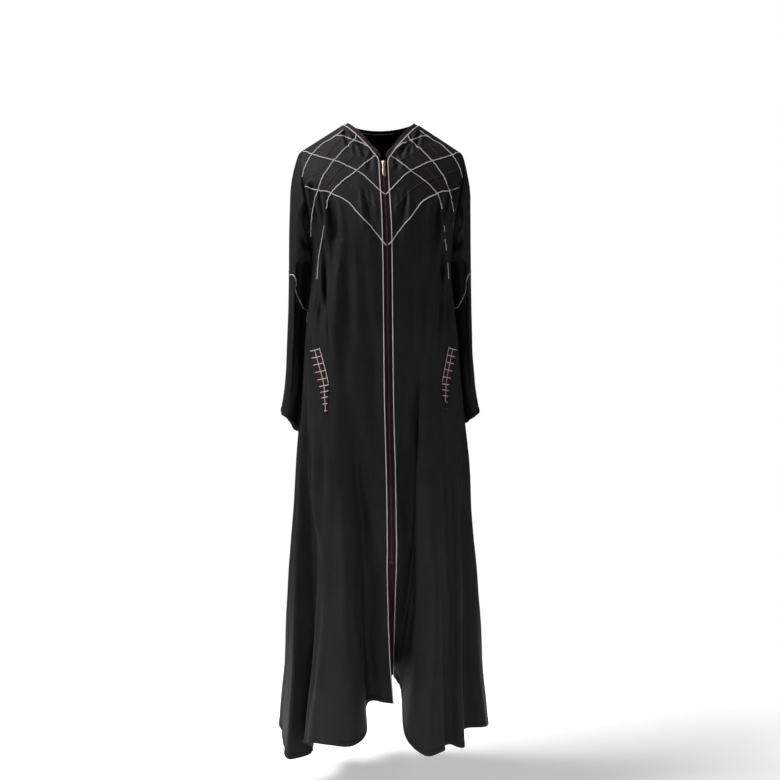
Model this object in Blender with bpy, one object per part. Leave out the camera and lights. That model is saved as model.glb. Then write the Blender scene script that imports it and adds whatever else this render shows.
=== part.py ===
"""A full-length abaya as it hangs when worn: two fronts closed by a long zip, a back, two sleeves.

Metres, +Z up. The front faces -Y and the garment's own left is at +X. The origin is midway between
the two points where the neckline meets the shoulder seams, the height that the garment hangs from.
"Turn" is a place round the body in quarter turns from the centre front, by the left side:
0 centre front, 1 left side, 2 centre back, 3 right side, 4 centre front again.
"""

import math

import bmesh
import bpy
import numpy as np
from mathutils import Matrix, Vector

# Driving dimensions.
CLOTH = 0.0016  # thickness of a cloth wall
SEAM = 0.0004  # gap between two sewn pieces
LIFT = 0.0007  # gap between a panel and what is sewn on it
NECK_HALF = 0.088  # centre line to the neck end of the shoulder seam
SHOULDER_HALF = 0.188  # centre line to the sleeve end of the shoulder seam
SHOULDER_DROP = 0.064
NECK_DEPTH = 0.082  # the V at the front
NECK_DEPTH_BACK = 0.016
UNDERARM = -0.261
ZIP_HALF = 0.0088  # centre line to a front's edge beside the zip
ZIP_END = -0.996
ROUNDNESS = 2.4  # exponent of the oval that a level section follows

# The body by height: half width, depth in front of the side seams and behind them.
BODY = (
    # height, half_width, front, back
    (0.010, 0.062, 0.016, 0.040),
    (0.000, 0.088, 0.026, 0.052),
    (-0.030, 0.139, 0.046, 0.074),
    (-0.064, 0.188, 0.066, 0.092),
    (-0.082, 0.200, 0.077, 0.099),
    (-0.104, 0.205, 0.089, 0.104),
    (-0.146, 0.199, 0.107, 0.110),
    (-0.186, 0.188, 0.121, 0.112),
    (-0.226, 0.174, 0.131, 0.112),
    (-0.261, 0.166, 0.137, 0.110),
    (-0.316, 0.160, 0.141, 0.107),
    (-0.373, 0.164, 0.143, 0.106),
    (-0.431, 0.172, 0.144, 0.109),
    (-0.486, 0.179, 0.145, 0.114),
    (-0.573, 0.186, 0.147, 0.122),
    (-0.662, 0.193, 0.149, 0.129),
    (-0.786, 0.205, 0.152, 0.136),
    (-0.916, 0.214, 0.155, 0.146),
    (-1.000, 0.222, 0.157, 0.152),
    (-1.156, 0.234, 0.162, 0.166),
    (-1.286, 0.241, 0.167, 0.180),
    (-1.376, 0.250, 0.170, 0.190),
    (-1.486, 0.260, 0.174, 0.202),
)

# Crests and valleys of the folds where they reach the hem, round from the left front edge.
# Each grows from its start height down to the hem.
HEM = (
    # turn, x, y, hem_height, start
    (0.02, 0.029, -0.004, -1.318, -1.008),  # left front's edge, behind the right one
    (0.13, 0.040, -0.044, -1.338, -0.930),  # root of the left front fold
    (0.26, 0.044, -0.196, -1.396, -0.480),  # its crest beside the opening
    (0.36, 0.084, -0.236, -1.424, -0.330),  # its crest
    (0.47, 0.122, -0.214, -1.424, -0.360),
    (0.56, 0.146, -0.162, -1.430, -0.420),
    (0.66, 0.180, -0.166, -1.436, -0.400),  # second fold
    (0.75, 0.188, -0.088, -1.428, -0.400),  # valley before the left side
    (0.87, 0.242, -0.080, -1.424, -0.400),
    (1.00, 0.263, 0.000, -1.444, -0.300),  # left side seam
    (1.16, 0.262, 0.092, -1.450, -0.500),
    (1.30, 0.200, 0.098, -1.440, -0.500),
    (1.46, 0.172, 0.190, -1.430, -0.400),
    (1.62, 0.112, 0.150, -1.412, -0.450),
    (1.80, 0.060, 0.226, -1.400, -0.350),
    (2.02, -0.006, 0.170, -1.388, -0.400),  # centre back
    (2.20, -0.062, 0.234, -1.400, -0.350),
    (2.38, -0.120, 0.152, -1.404, -0.450),
    (2.54, -0.174, 0.192, -1.420, -0.400),
    (2.70, -0.200, 0.096, -1.436, -0.500),
    (2.86, -0.246, 0.080, -1.450, -0.450),
    (3.00, -0.241, 0.000, -1.462, -0.300),  # right side seam
    (3.14, -0.228, -0.092, -1.482, -0.420),
    (3.26, -0.190, -0.066, -1.476, -0.420),  # valley behind the right front fold
    (3.38, -0.193, -0.160, -1.414, -0.440),
    (3.50, -0.142, -0.226, -1.394, -0.400),
    (3.64, -0.082, -0.240, -1.392, -0.500),  # its crest
    (3.74, -0.052, -0.192, -1.382, -0.660),
    (3.84, -0.046, -0.100, -1.350, -0.860),
    (3.98, 0.021, -0.098, -1.351, -1.008),  # right front's edge, over the left one
)

# Long shallow folds above the hem's: how far each moves the cloth out, or in where it is below zero.
FOLDS = (
    # turn, half_width, out, top, bottom
    (3.42, 0.070, -0.010, -0.200, -0.470),
    (3.58, 0.080, 0.007, -0.180, -0.560),
    (3.28, 0.060, 0.006, -0.300, -0.760),
    (0.36, 0.080, 0.006, -0.240, -0.700),
    (0.58, 0.070, -0.009, -0.200, -0.470),
    (0.74, 0.090, 0.004, -0.300, -0.740),
    (1.40, 0.090, 0.006, -0.240, -0.900),
    (1.74, 0.090, -0.007, -0.240, -0.860),
    (2.06, 0.100, 0.006, -0.240, -0.900),
    (2.40, 0.090, -0.007, -0.260, -0.880),
    (2.66, 0.080, 0.006, -0.240, -0.860),
)

# The armhole by share of the way from the shoulder point down to the underarm.
ARMHOLE = (
    # share, height, front_x, back_x
    (0.00, -0.064, 0.1880, 0.188),
    (0.25, -0.102, 0.1870, 0.188),
    (0.50, -0.152, 0.1785, 0.182),
    (0.75, -0.212, 0.1690, 0.172),
    (0.90, -0.247, 0.1660, 0.167),
    (1.00, -0.261, 0.1660, 0.166),
)

# A sleeve by share of the way from the armhole to the cuff. Tuck is how much further back its inner side
# lies than its outer side, and fall is how far its back hangs below its front, beside the body.
SLEEVE = (
    # share, outer_z, inner_z, outer_x, inner_x, front_y, back_y, tuck, fall
    (0.00, -0.072, -0.268, 0.1930, 0.1700, -0.070, 0.074, 0.000, 0.000),
    (0.12, -0.120, -0.286, 0.2045, 0.1700, -0.068, 0.080, 0.000, 0.000),
    (0.30, -0.196, -0.330, 0.2100, 0.1600, -0.058, 0.088, 0.028, 0.000),
    (0.48, -0.290, -0.392, 0.2125, 0.1652, -0.047, 0.095, 0.034, 0.000),
    (0.66, -0.400, -0.474, 0.2150, 0.1760, -0.042, 0.098, 0.034, 0.004),
    (0.83, -0.530, -0.578, 0.2200, 0.1840, -0.038, 0.099, 0.034, 0.016),
    (0.94, -0.620, -0.656, 0.2275, 0.1918, -0.036, 0.098, 0.034, 0.032),
    (1.00, -0.668, -0.698, 0.2360, 0.1964, -0.036, 0.098, 0.034, 0.045),
)
LEFT_CLEAR = 0.0036  # how much further out the left sleeve's inner side is at its cuff
CLEAR_FROM = 0.60  # the share where that begins

# Grid sizes.
TORSO_ROWS = 10
SKIRT_ROWS = 14
FRONT_COLUMNS = 26
BACK_COLUMNS = 36
SLEEVE_ROWS = 12
SLEEVE_CORD_ROW = 7
V_ROW = 5  # the row of a front that meets the foot of the V
ROW_SPREAD = 1.2  # over 1 puts the skirt's rows closer together at its top
WELT_ROWS = 9
WELT_COLUMNS = 4

# Colours.
BLACK = (0.012, 0.012, 0.013)
MAROON = (0.075, 0.012, 0.020)
WHITE = (0.78, 0.74, 0.75)
METAL = (0.80, 0.68, 0.62)

# The zip: its tapes and chain lie between the fronts' edges, with the slider at its top.
TAPE_MIDDLE = 0.0053  # centre line to the middle of a tape
TAPE_WIDE = 0.0060
TAPE_THICK = 0.0012
CHAIN_WIDE = 0.0040
CHAIN_THICK = 0.0018
CHAIN_FRONT = 0.0011  # from the zip's middle surface to the front of its chain
SLIDER_Z = -0.091
SLIDER_LONG = 0.0125
SLIDER_WIDE = 0.0086
SLIDER_THICK = 0.0022
SLIDER_GAP = 0.0003
ARCH_LONG = 0.0090
ARCH_HIGH = 0.0040
ARCH_WIDE = 0.0016
ARCH_BAR = 0.0013
TAB_LONG = 0.0354  # from the hinge down
TAB_WIDE = 0.0068
TAB_THICK = 0.0014
TAB_BAR = 0.0016
TAB_SLOT = 0.0090
TAB_PLAY = 0.0006  # between the slot's side and the arch
TAB_HANGS = 0.0012  # how far below the slider's middle the hinge is

# The binding round the neck.
BINDING_GAP = 0.00035  # from the neckline's edge to the binding's
BINDING_WIDE = 0.0100
BINDING_THICK = 0.0020
BINDING_END = 0.0060  # its width at the foot of the V

# Cords sewn on the panels.
CORD_WIDTH = 0.0028
CORD_HEIGHT = 0.0011
CORD_IN = 0.0022  # from a front's edge to the middle of the cord beside it
CORD_ONWARD = 0.0062  # how far the long cords run on over the zip's tape
EDGE_LIFT = 0.0010
RING_LIFT = 0.0009
CROSSING = 0.00009  # how much higher the second family of cords is than the first

# Lift off the panel and height, in that order: the white cords pass over the maroon ones.
UNDER = (0.0005, 0.0005)
OVER = (0.0014, 0.0009)

# Cords of the yoke on a left front, as x and height seen from the front: those that run down to the
# zip, then those that run down to the armhole.
WHITE_CORDS = (
    (
        ((0.113, -0.030), (0.094, -0.026), (0.081, -0.030), (0.065, -0.037), (0.047, -0.047)),
        (
            (0.183, -0.0605),
            (0.162, -0.068),
            (0.114, -0.085),
            (0.085, -0.098),
            (0.062, -0.108),
            (0.040, -0.122),
            (0.018, -0.146),
            (0.009, -0.157),
        ),
        (
            (0.178, -0.141),
            (0.133, -0.154),
            (0.108, -0.162),
            (0.088, -0.175),
            (0.064, -0.197),
            (0.040, -0.222),
            (0.018, -0.250),
            (0.009, -0.261),
        ),
    ),
    (
        (
            (0.087, -0.012),
            (0.105, -0.027),
            (0.119, -0.036),
            (0.142, -0.051),
            (0.162, -0.069),
            (0.184, -0.112),
        ),
        (
            (0.058, -0.029),
            (0.080, -0.052),
            (0.113, -0.085),
            (0.137, -0.119),
            (0.149, -0.153),
            (0.159, -0.197),
            (0.1625, -0.235),
            (0.1625, -0.256),
        ),
        (
            (0.019, -0.076),
            (0.036, -0.090),
            (0.062, -0.109),
            (0.092, -0.134),
            (0.115, -0.154),
            (0.130, -0.180),
            (0.134, -0.204),
            (0.135, -0.231),
            (0.139, -0.263),
            (0.147, -0.310),
        ),
    ),
)
MAROON_CORDS = (
    (
        ((0.126, -0.048), (0.100, -0.054), (0.066, -0.069), (0.042, -0.082), (0.018, -0.097)),
        (
            (0.184, -0.098),
            (0.157, -0.108),
            (0.126, -0.119),
            (0.106, -0.125),
            (0.074, -0.141),
            (0.052, -0.157),
            (0.032, -0.177),
            (0.018, -0.193),
        ),
    ),
    (
        ((0.089, -0.031), (0.104, -0.044), (0.118, -0.060), (0.132, -0.078)),
        ((0.052, -0.063), (0.070, -0.078), (0.087, -0.093), (0.110, -0.117), (0.132, -0.146)),
    ),
)

# The pocket welt from its top to its foot: its outer edge and its edge towards the centre.
POCKET = (
    # outer_x, outer_z, inner_x, inner_z
    (0.170, -0.513, 0.146, -0.505),
    (0.160, -0.551, 0.136, -0.543),
    (0.150, -0.590, 0.127, -0.583),
    (0.144, -0.621, 0.1295, -0.617),
    (0.1370, -0.656, 0.1322, -0.657),
)
WELT_GAP = 0.0012
WELT_THICK = 0.0016
POCKET_CORD = 0.0016
POCKET_CORD_HIGH = 0.0007
POCKET_LIFT = 0.0005
POCKET_RUNGS = 10


def spline(knots, values, at):
    """Cubic curve through the table's values, with slopes taken from their neighbours."""
    knots, values = np.asarray(knots, float), np.asarray(values, float)
    if knots[0] > knots[-1]:
        knots, values = knots[::-1], values[::-1]
    slopes = np.gradient(values, knots)
    at = np.clip(at, knots[0], knots[-1])
    i = np.clip(np.searchsorted(knots, at) - 1, 0, len(knots) - 2)
    h = knots[i + 1] - knots[i]
    s = (at - knots[i]) / h
    rise = s * s * (3 - 2 * s)
    return (
        values[i] * (1 - rise)
        + values[i + 1] * rise
        + slopes[i] * h * s * (1 - s) ** 2
        - slopes[i + 1] * h * s * s * (1 - s)
    )


def column(table, index, at):
    rows = np.array(table)
    return spline(rows[:, 0], rows[:, index], at)


def oval(turn, height):
    """Point of the plain body, before its folds."""
    angle = np.asarray(turn) * math.pi / 2
    s, c = np.sin(angle), np.cos(angle)
    r = (np.abs(s) ** ROUNDNESS + np.abs(c) ** ROUNDNESS) ** (-1 / ROUNDNESS)
    depth = np.where(c > 0, column(BODY, 2, height), column(BODY, 3, height))
    return np.stack([column(BODY, 1, height) * s * r, -depth * c * r, height + 0 * r], -1)


def torso_depth(x, height, depth_column):
    """How far the body stands before or behind the side seams, at a place seen from the front."""
    half = column(BODY, 1, height)
    on_shoulder = NECK_HALF - height / SHOULDER_DROP * (SHOULDER_HALF - NECK_HALF)
    half = np.where(height > -SHOULDER_DROP, on_shoulder, half)
    share = np.clip(np.abs(x) / half, 0, 1)
    share = np.where(share > 0.99995, 1, share)
    return column(BODY, depth_column, height) * (1 - share**ROUNDNESS) ** (1 / ROUNDNESS)


def body(turn, down):
    """Point of the cloth below the underarms; down runs from 0 at the underarm to 1 at the hem."""
    hem = column(HEM, 3, turn)
    height = UNDERARM + (hem - UNDERARM) * down
    start = column(HEM, 4, turn)
    growth = np.clip((start - height) / (start - hem), 0, 1) ** 1.15
    # Higher up, the same folds lie a little further from the centre front.
    away = np.where(turn < 1, turn, np.where(turn > 3, 4 - turn, 1))
    squeezed = away * (1 - 0.10 * (1 - growth) * (1 - away))
    place = np.where(turn < 1, squeezed, np.where(turn > 3, 4 - squeezed, turn))
    plain = oval(turn, height)
    at_hem = oval(place, hem)
    plain[..., 0] += growth * (column(HEM, 1, place) - at_hem[..., 0])
    plain[..., 1] += growth * (column(HEM, 2, place) - at_hem[..., 1])
    angle = np.asarray(turn) * math.pi / 2
    for middle, half_width, out, top, bottom in FOLDS:
        over = np.clip(np.abs(turn - middle) / half_width, 0, 1)
        along = np.clip((top - height) / (top - bottom), 0, 1)
        swell = out * (1 - over**2) ** 2 * np.sin(math.pi * along) ** 1.5
        plain[..., 0] += swell * np.sin(angle)
        plain[..., 1] -= swell * np.cos(angle)
    return plain


def front_grid(side):
    """Rows from the shoulder seam to the hem, columns from the centre front to the side; side is 1 on
    the left and -1 on the right."""
    across = np.linspace(0, 1, FRONT_COLUMNS + 1)
    start = 2 / math.pi * math.asin(ZIP_HALF / column(BODY, 1, UNDERARM))
    even = oval(start + (1 - start) * across, UNDERARM)[:, 0]
    even = (even - even[0]) / (even[-1] - even[0])
    rows = []
    for i in range(TORSO_ROWS + 1):
        down = i / TORSO_ROWS
        near_seam = down**1.5
        if i <= V_ROW:
            along = (i / V_ROW) ** 1.3
            inner_x = NECK_HALF + (ZIP_HALF - NECK_HALF) * along
            inner_z = -NECK_DEPTH * along**1.27
        else:
            along = (i - V_ROW) / (TORSO_ROWS - V_ROW)
            inner_x = ZIP_HALF
            inner_z = -NECK_DEPTH + (UNDERARM + NECK_DEPTH) * along
        outer_x = column(ARMHOLE, 2, near_seam)
        outer_z = column(ARMHOLE, 1, near_seam)
        share = across * (1 - down) + even * down
        x = inner_x + (outer_x - inner_x) * share
        z = inner_z + (outer_z - inner_z) * share
        rows.append(np.stack([x, -torso_depth(x, z, 2), z], -1))
    for i in range(1, SKIRT_ROWS + 1):
        down = (i / SKIRT_ROWS) ** ROW_SPREAD
        height = UNDERARM + (column(HEM, 3, 0) - UNDERARM) * down
        edge = 2 / math.pi * math.asin(ZIP_HALF / column(BODY, 1, height))
        turn = edge + (1 - edge) * across
        if side < 0:
            turn = 4 - turn
        points = body(turn, down)
        points[:, 0] *= side
        rows.append(points)
    grid = np.array(rows)
    grid[..., 0] *= side
    return grid


def back_grid():
    """Rows from the shoulder seams and back neck to the hem, columns from the left side to the right."""
    across = np.linspace(1, -1, BACK_COLUMNS + 1)
    neck = NECK_HALF / SHOULDER_HALF
    rows = []
    for i in range(TORSO_ROWS + 1):
        down = i / TORSO_ROWS
        near_seam = down**1.5
        top_x = SHOULDER_HALF * across
        inside = np.clip(1 - (np.abs(across) / neck) ** 2, 0, 1)
        beyond = np.clip((np.abs(across) - neck) / (1 - neck), 0, 1)
        top_z = -NECK_DEPTH_BACK * inside - SHOULDER_DROP * beyond
        edge_x, edge_z = column(ARMHOLE, 3, near_seam), column(ARMHOLE, 1, near_seam)
        low_x = oval(2 - across, UNDERARM)[:, 0]
        outer = np.abs(across) ** 3
        x = top_x * (1 - down) + low_x * down
        z = top_z * (1 - near_seam) + UNDERARM * near_seam
        x = x + outer * np.sign(across) * (edge_x - np.abs(x[0]))
        z = z + outer * (edge_z - z[0])
        rows.append(np.stack([x, torso_depth(x, z, 3), z], -1))
    for i in range(1, SKIRT_ROWS + 1):
        rows.append(body(2 - across, (i / SKIRT_ROWS) ** ROW_SPREAD))
    return np.array(rows)


def normals_of(grid, closed=False):
    """Unit normals of a grid of points, pointing away from the garment's own axis or a tube's."""
    if closed:
        across = np.roll(grid, -1, 1) - np.roll(grid, 1, 1)
    else:
        across = np.gradient(grid, axis=1)
    n = np.cross(np.gradient(grid, axis=0), across)
    n /= np.linalg.norm(n, axis=2, keepdims=True) + 1e-12
    outward = grid - grid.mean(axis=1, keepdims=True) if closed else grid * [1, 1, 0]
    return n * np.sign((n * outward).sum())


def share_normals(first, second):
    """Gives two edges that are sewn together the same normals, so that their rims are parallel."""
    both = first + second
    both /= np.linalg.norm(both, axis=-1, keepdims=True)
    first[:] = both
    second[:] = both


def mitre(seam, first, second, along):
    """Directions of the rims of two sheets that meet at a seam, from the sheets' own directions."""
    along = along / np.linalg.norm(along, axis=1, keepdims=True)
    ways = []
    for way in (first - seam, second - seam):
        way = way - (way * along).sum(axis=1, keepdims=True) * along
        ways.append(way / np.linalg.norm(way, axis=1, keepdims=True))
    flat, sharp = np.cross(along, ways[0] - ways[1]), ways[0] + ways[1]
    use_sharp = np.linalg.norm(sharp, axis=1, keepdims=True) > np.linalg.norm(flat, axis=1, keepdims=True)
    rim = np.where(use_sharp, sharp, flat)
    return rim / np.linalg.norm(rim, axis=1, keepdims=True)


def draw_in(grid, row=None, col=None, by=SEAM / 2):
    """Moves one edge of a grid towards the row or column next to it."""
    if row is not None:
        edge, inside = grid[row], grid[1 if row == 0 else row - 1]
    else:
        edge, inside = grid[:, col], grid[:, 1 if col == 0 else col - 1]
    way = inside - edge
    edge += way / np.linalg.norm(way, axis=-1, keepdims=True) * by


def add_object(name, points, faces, group, colour, roughness=0.85, metallic=0.0):
    mesh = bpy.data.meshes.new(name)
    mesh.from_pydata([tuple(p) for p in points], [], [tuple(f) for f in faces])
    bm = bmesh.new()
    bm.from_mesh(mesh)
    bmesh.ops.recalc_face_normals(bm, faces=bm.faces)
    bm.to_mesh(mesh)
    bm.free()
    obj = bpy.data.objects.new(name, mesh)
    group.objects.link(obj)
    finish(obj, colour, roughness, metallic)
    return obj


def finish(obj, colour, roughness=0.85, metallic=0.0):
    """Gives an object its own material, and smooth shading with sharp rims."""
    material = bpy.data.materials.new(obj.name)
    material.use_nodes = True
    shader = material.node_tree.nodes["Principled BSDF"]
    shader.inputs["Base Color"].default_value = (*colour, 1)
    shader.inputs["Roughness"].default_value = roughness
    shader.inputs["Metallic"].default_value = metallic
    obj.data.materials.append(material)
    if obj.type == "MESH":
        obj.data.shade_smooth()
        obj.data.set_sharp_from_angle(angle=math.radians(50))


def wall(name, grid, normals, group, colour, thickness=CLOTH, closed=False):
    """A cloth wall: the grid moved out and in by half the thickness, with rims round its edges."""
    rows, cols = grid.shape[:2]
    outer = grid + normals * thickness / 2
    inner = grid - normals * thickness / 2
    points = np.concatenate([outer.reshape(-1, 3), inner.reshape(-1, 3)])
    many = rows * cols
    faces = []
    last = cols if closed else cols - 1
    for i in range(rows - 1):
        for j in range(last):
            a, b = i * cols + j, i * cols + (j + 1) % cols
            c, d = b + cols, a + cols
            faces += [(a, b, c), (a, c, d)]
            faces += [(many + a, many + c, many + b), (many + a, many + d, many + c)]
    for i in (0, rows - 1):
        for j in range(last):
            a, b = i * cols + j, i * cols + (j + 1) % cols
            faces += [(a, b, many + b), (a, many + b, many + a)]
    if not closed:
        for j in (0, cols - 1):
            for i in range(rows - 1):
                a, b = i * cols + j, (i + 1) * cols + j
                faces += [(a, b, many + b), (a, many + b, many + a)]
    return add_object(name, points, faces, group, colour)


def strip(name, path, normals, width, height, group, colour, lift=LIFT, loop=False, top=0.55):
    """A flat cord along a path on a surface: its foot is as wide as stated and its top narrower."""
    path = np.asarray(path)
    if loop:
        tangent = np.roll(path, -1, 0) - np.roll(path, 1, 0)
    else:
        tangent = np.gradient(path, axis=0)
    aside = np.cross(normals, tangent)
    aside /= np.linalg.norm(aside, axis=1, keepdims=True)
    low, high = path + normals * lift, path + normals * (lift + height)
    foot = aside * width / 2
    rings = [low + foot, high + foot * top, high - foot * top, low - foot]
    points = np.stack(rings, 1).reshape(-1, 3)
    count = len(path)
    faces = []
    for i in range(count if loop else count - 1):
        for k in range(4):
            a, b = 4 * i + k, 4 * i + (k + 1) % 4
            c, d = 4 * ((i + 1) % count) + (k + 1) % 4, 4 * ((i + 1) % count) + k
            faces += [(a, b, c), (a, c, d)]
    if not loop:
        end = 4 * (count - 1)
        faces += [(0, 1, 2), (0, 2, 3), (end, end + 1, end + 2), (end, end + 2, end + 3)]
    return add_object(name, points, faces, group, colour)


def grid_edges(grid, normals):
    """The edges of a panel's triangles: both ends' places and normals."""
    pairs = [
        (grid[:, :-1], grid[:, 1:], normals[:, :-1], normals[:, 1:]),
        (grid[:-1], grid[1:], normals[:-1], normals[1:]),
        (grid[:-1, :-1], grid[1:, 1:], normals[:-1, :-1], normals[1:, 1:]),
    ]
    return [np.concatenate([p[k].reshape(-1, 3) for p in pairs]) for k in range(4)]


def place_on(grid, normals, x, height):
    """The point and the normal of a panel at a place seen from the front."""
    a, b, c, d = grid[:-1, :-1], grid[:-1, 1:], grid[1:, 1:], grid[1:, :-1]
    na, nb, nc, nd = normals[:-1, :-1], normals[:-1, 1:], normals[1:, 1:], normals[1:, :-1]
    corners = [np.concatenate([q.reshape(-1, 3) for q in pair]) for pair in ((a, a), (b, c), (c, d))]
    ups = [np.concatenate([q.reshape(-1, 3) for q in pair]) for pair in ((na, na), (nb, nc), (nc, nd))]
    p, u, v = corners[0], corners[1] - corners[0], corners[2] - corners[0]
    area = u[:, 0] * v[:, 2] - u[:, 2] * v[:, 0]
    area = np.where(np.abs(area) < 1e-14, 1e-14, area)
    s = ((x - p[:, 0]) * v[:, 2] - (height - p[:, 2]) * v[:, 0]) / area
    t = ((height - p[:, 2]) * u[:, 0] - (x - p[:, 0]) * u[:, 2]) / area
    miss = np.maximum(np.maximum(-s, -t), s + t - 1)
    depth = np.where(miss < 1e-9, p[:, 1] + s * u[:, 1] + t * v[:, 1], np.inf)
    k = int(depth.argmin() if np.isfinite(depth).any() else miss.argmin())
    up = ups[0][k] * (1 - s[k] - t[k]) + ups[1][k] * s[k] + ups[2][k] * t[k]
    return p[k] + s[k] * u[k] + t[k] * v[k], up / np.linalg.norm(up)


def path_on(grid, normals, corners, samples=10, allowed=0.00015):
    """Lays a curve, given as x and height seen from the front, on a panel: a point wherever it
    crosses an edge of the panel's triangles, so that between two points the panel is flat."""
    corners = np.array(corners, float)
    chord = np.r_[0, np.cumsum(np.hypot(*np.diff(corners, axis=0).T))]
    even = np.linspace(0, chord[-1], samples)
    if len(corners) > 2:
        flat = np.stack([spline(chord, corners[:, k], even) for k in (0, 1)], 1)
    else:
        flat = np.stack([np.interp(even, chord, corners[:, k]) for k in (0, 1)], 1)
    a, b, na, nb = grid_edges(grid, normals)
    pa, way = a[:, (0, 2)], (b - a)[:, (0, 2)]
    found = []
    for k in range(samples - 1):
        start, step = flat[k], flat[k + 1] - flat[k]
        cross = step[0] * way[:, 1] - step[1] * way[:, 0]
        cross = np.where(np.abs(cross) < 1e-12, 1e-12, cross)
        gap = pa - start
        along = (gap[:, 0] * way[:, 1] - gap[:, 1] * way[:, 0]) / cross
        on_edge = (gap[:, 0] * step[1] - gap[:, 1] * step[0]) / cross
        hit = (along >= 0) & (along < 1) & (on_edge >= 0) & (on_edge <= 1)
        for i in np.flatnonzero(hit):
            place = a[i] + (b[i] - a[i]) * on_edge[i]
            found.append((k + along[i], *place, *(na[i] + (nb[i] - na[i]) * on_edge[i])))
    for k in (0, samples - 1):
        place, up = place_on(grid, normals, *flat[k])
        found.append((k * (1 + 1e-9) - 1e-9, *place, *up))
    found = np.array(sorted(found))
    return thin_out(found[:, 1:4], found[:, 4:7], allowed)


def thin_out(points, ups, allowed=0.00015):
    """Leaves out the points of a path that lie on the straight line between those kept."""
    keep = [0, len(points) - 1]
    waiting = [(0, len(points) - 1)]
    while waiting:
        a, b = waiting.pop()
        if b - a < 2:
            continue
        chord = points[b] - points[a]
        along = ((points[a + 1 : b] - points[a]) @ chord / (chord @ chord))[:, None]
        off = np.linalg.norm(points[a + 1 : b] - points[a] - along * chord, axis=1)
        worst = a + 1 + int(off.argmax())
        if off.max() > allowed:
            keep.append(worst)
            waiting += [(a, worst), (worst, b)]
    keep = sorted(keep)
    gaps = np.linalg.norm(np.diff(points[keep], axis=0), axis=1)
    keep = [keep[0], *[k for k, gap in zip(keep[1:-1], gaps) if gap > 0.002], keep[-1]]
    ups = ups[keep]
    return points[keep], ups / np.linalg.norm(ups, axis=1, keepdims=True)


def edge_path(panel, normals, inset, first_row=0.0, drop_end=0.02):
    """A path beside a panel's first column: a point on every row and on every quad's diagonal."""
    gap = np.linalg.norm(panel[:, 1] - panel[:, 0], axis=1)
    share = inset / gap
    points, ups = [], []
    for i in range(len(panel)):
        if i >= first_row:
            points.append(panel[i, 0] + (panel[i, 1] - panel[i, 0]) * share[i])
            ups.append(normals[i, 0])
        if i + 1 < len(panel):
            t = share[i] / (1 - share[i + 1] + share[i])
            if i + t > first_row:
                points.append(panel[i, 0] + (panel[i + 1, 1] - panel[i, 0]) * t)
                ups.append(normals[i, 0] * (1 - t) + normals[i + 1, 1] * t)
    points[-1] = points[-1] + (points[-2] - points[-1]) * drop_end
    return thin_out(np.array(points), np.array(ups))


def join(name, cords, group, cutters):
    """Makes crossing cords one body: the first takes the others by a Boolean union."""
    others = bpy.data.collections.new(name + "_cords")
    cutters.children.link(others)
    for cord in cords[1:]:
        group.objects.unlink(cord)
        others.objects.link(cord)
        cord.hide_render = True
        cord.display_type = "WIRE"
    first = cords[0]
    first.name = name
    union = first.modifiers.new("join", "BOOLEAN")
    union.operation = "UNION"
    union.operand_type = "COLLECTION"
    union.collection = others
    return first


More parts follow.
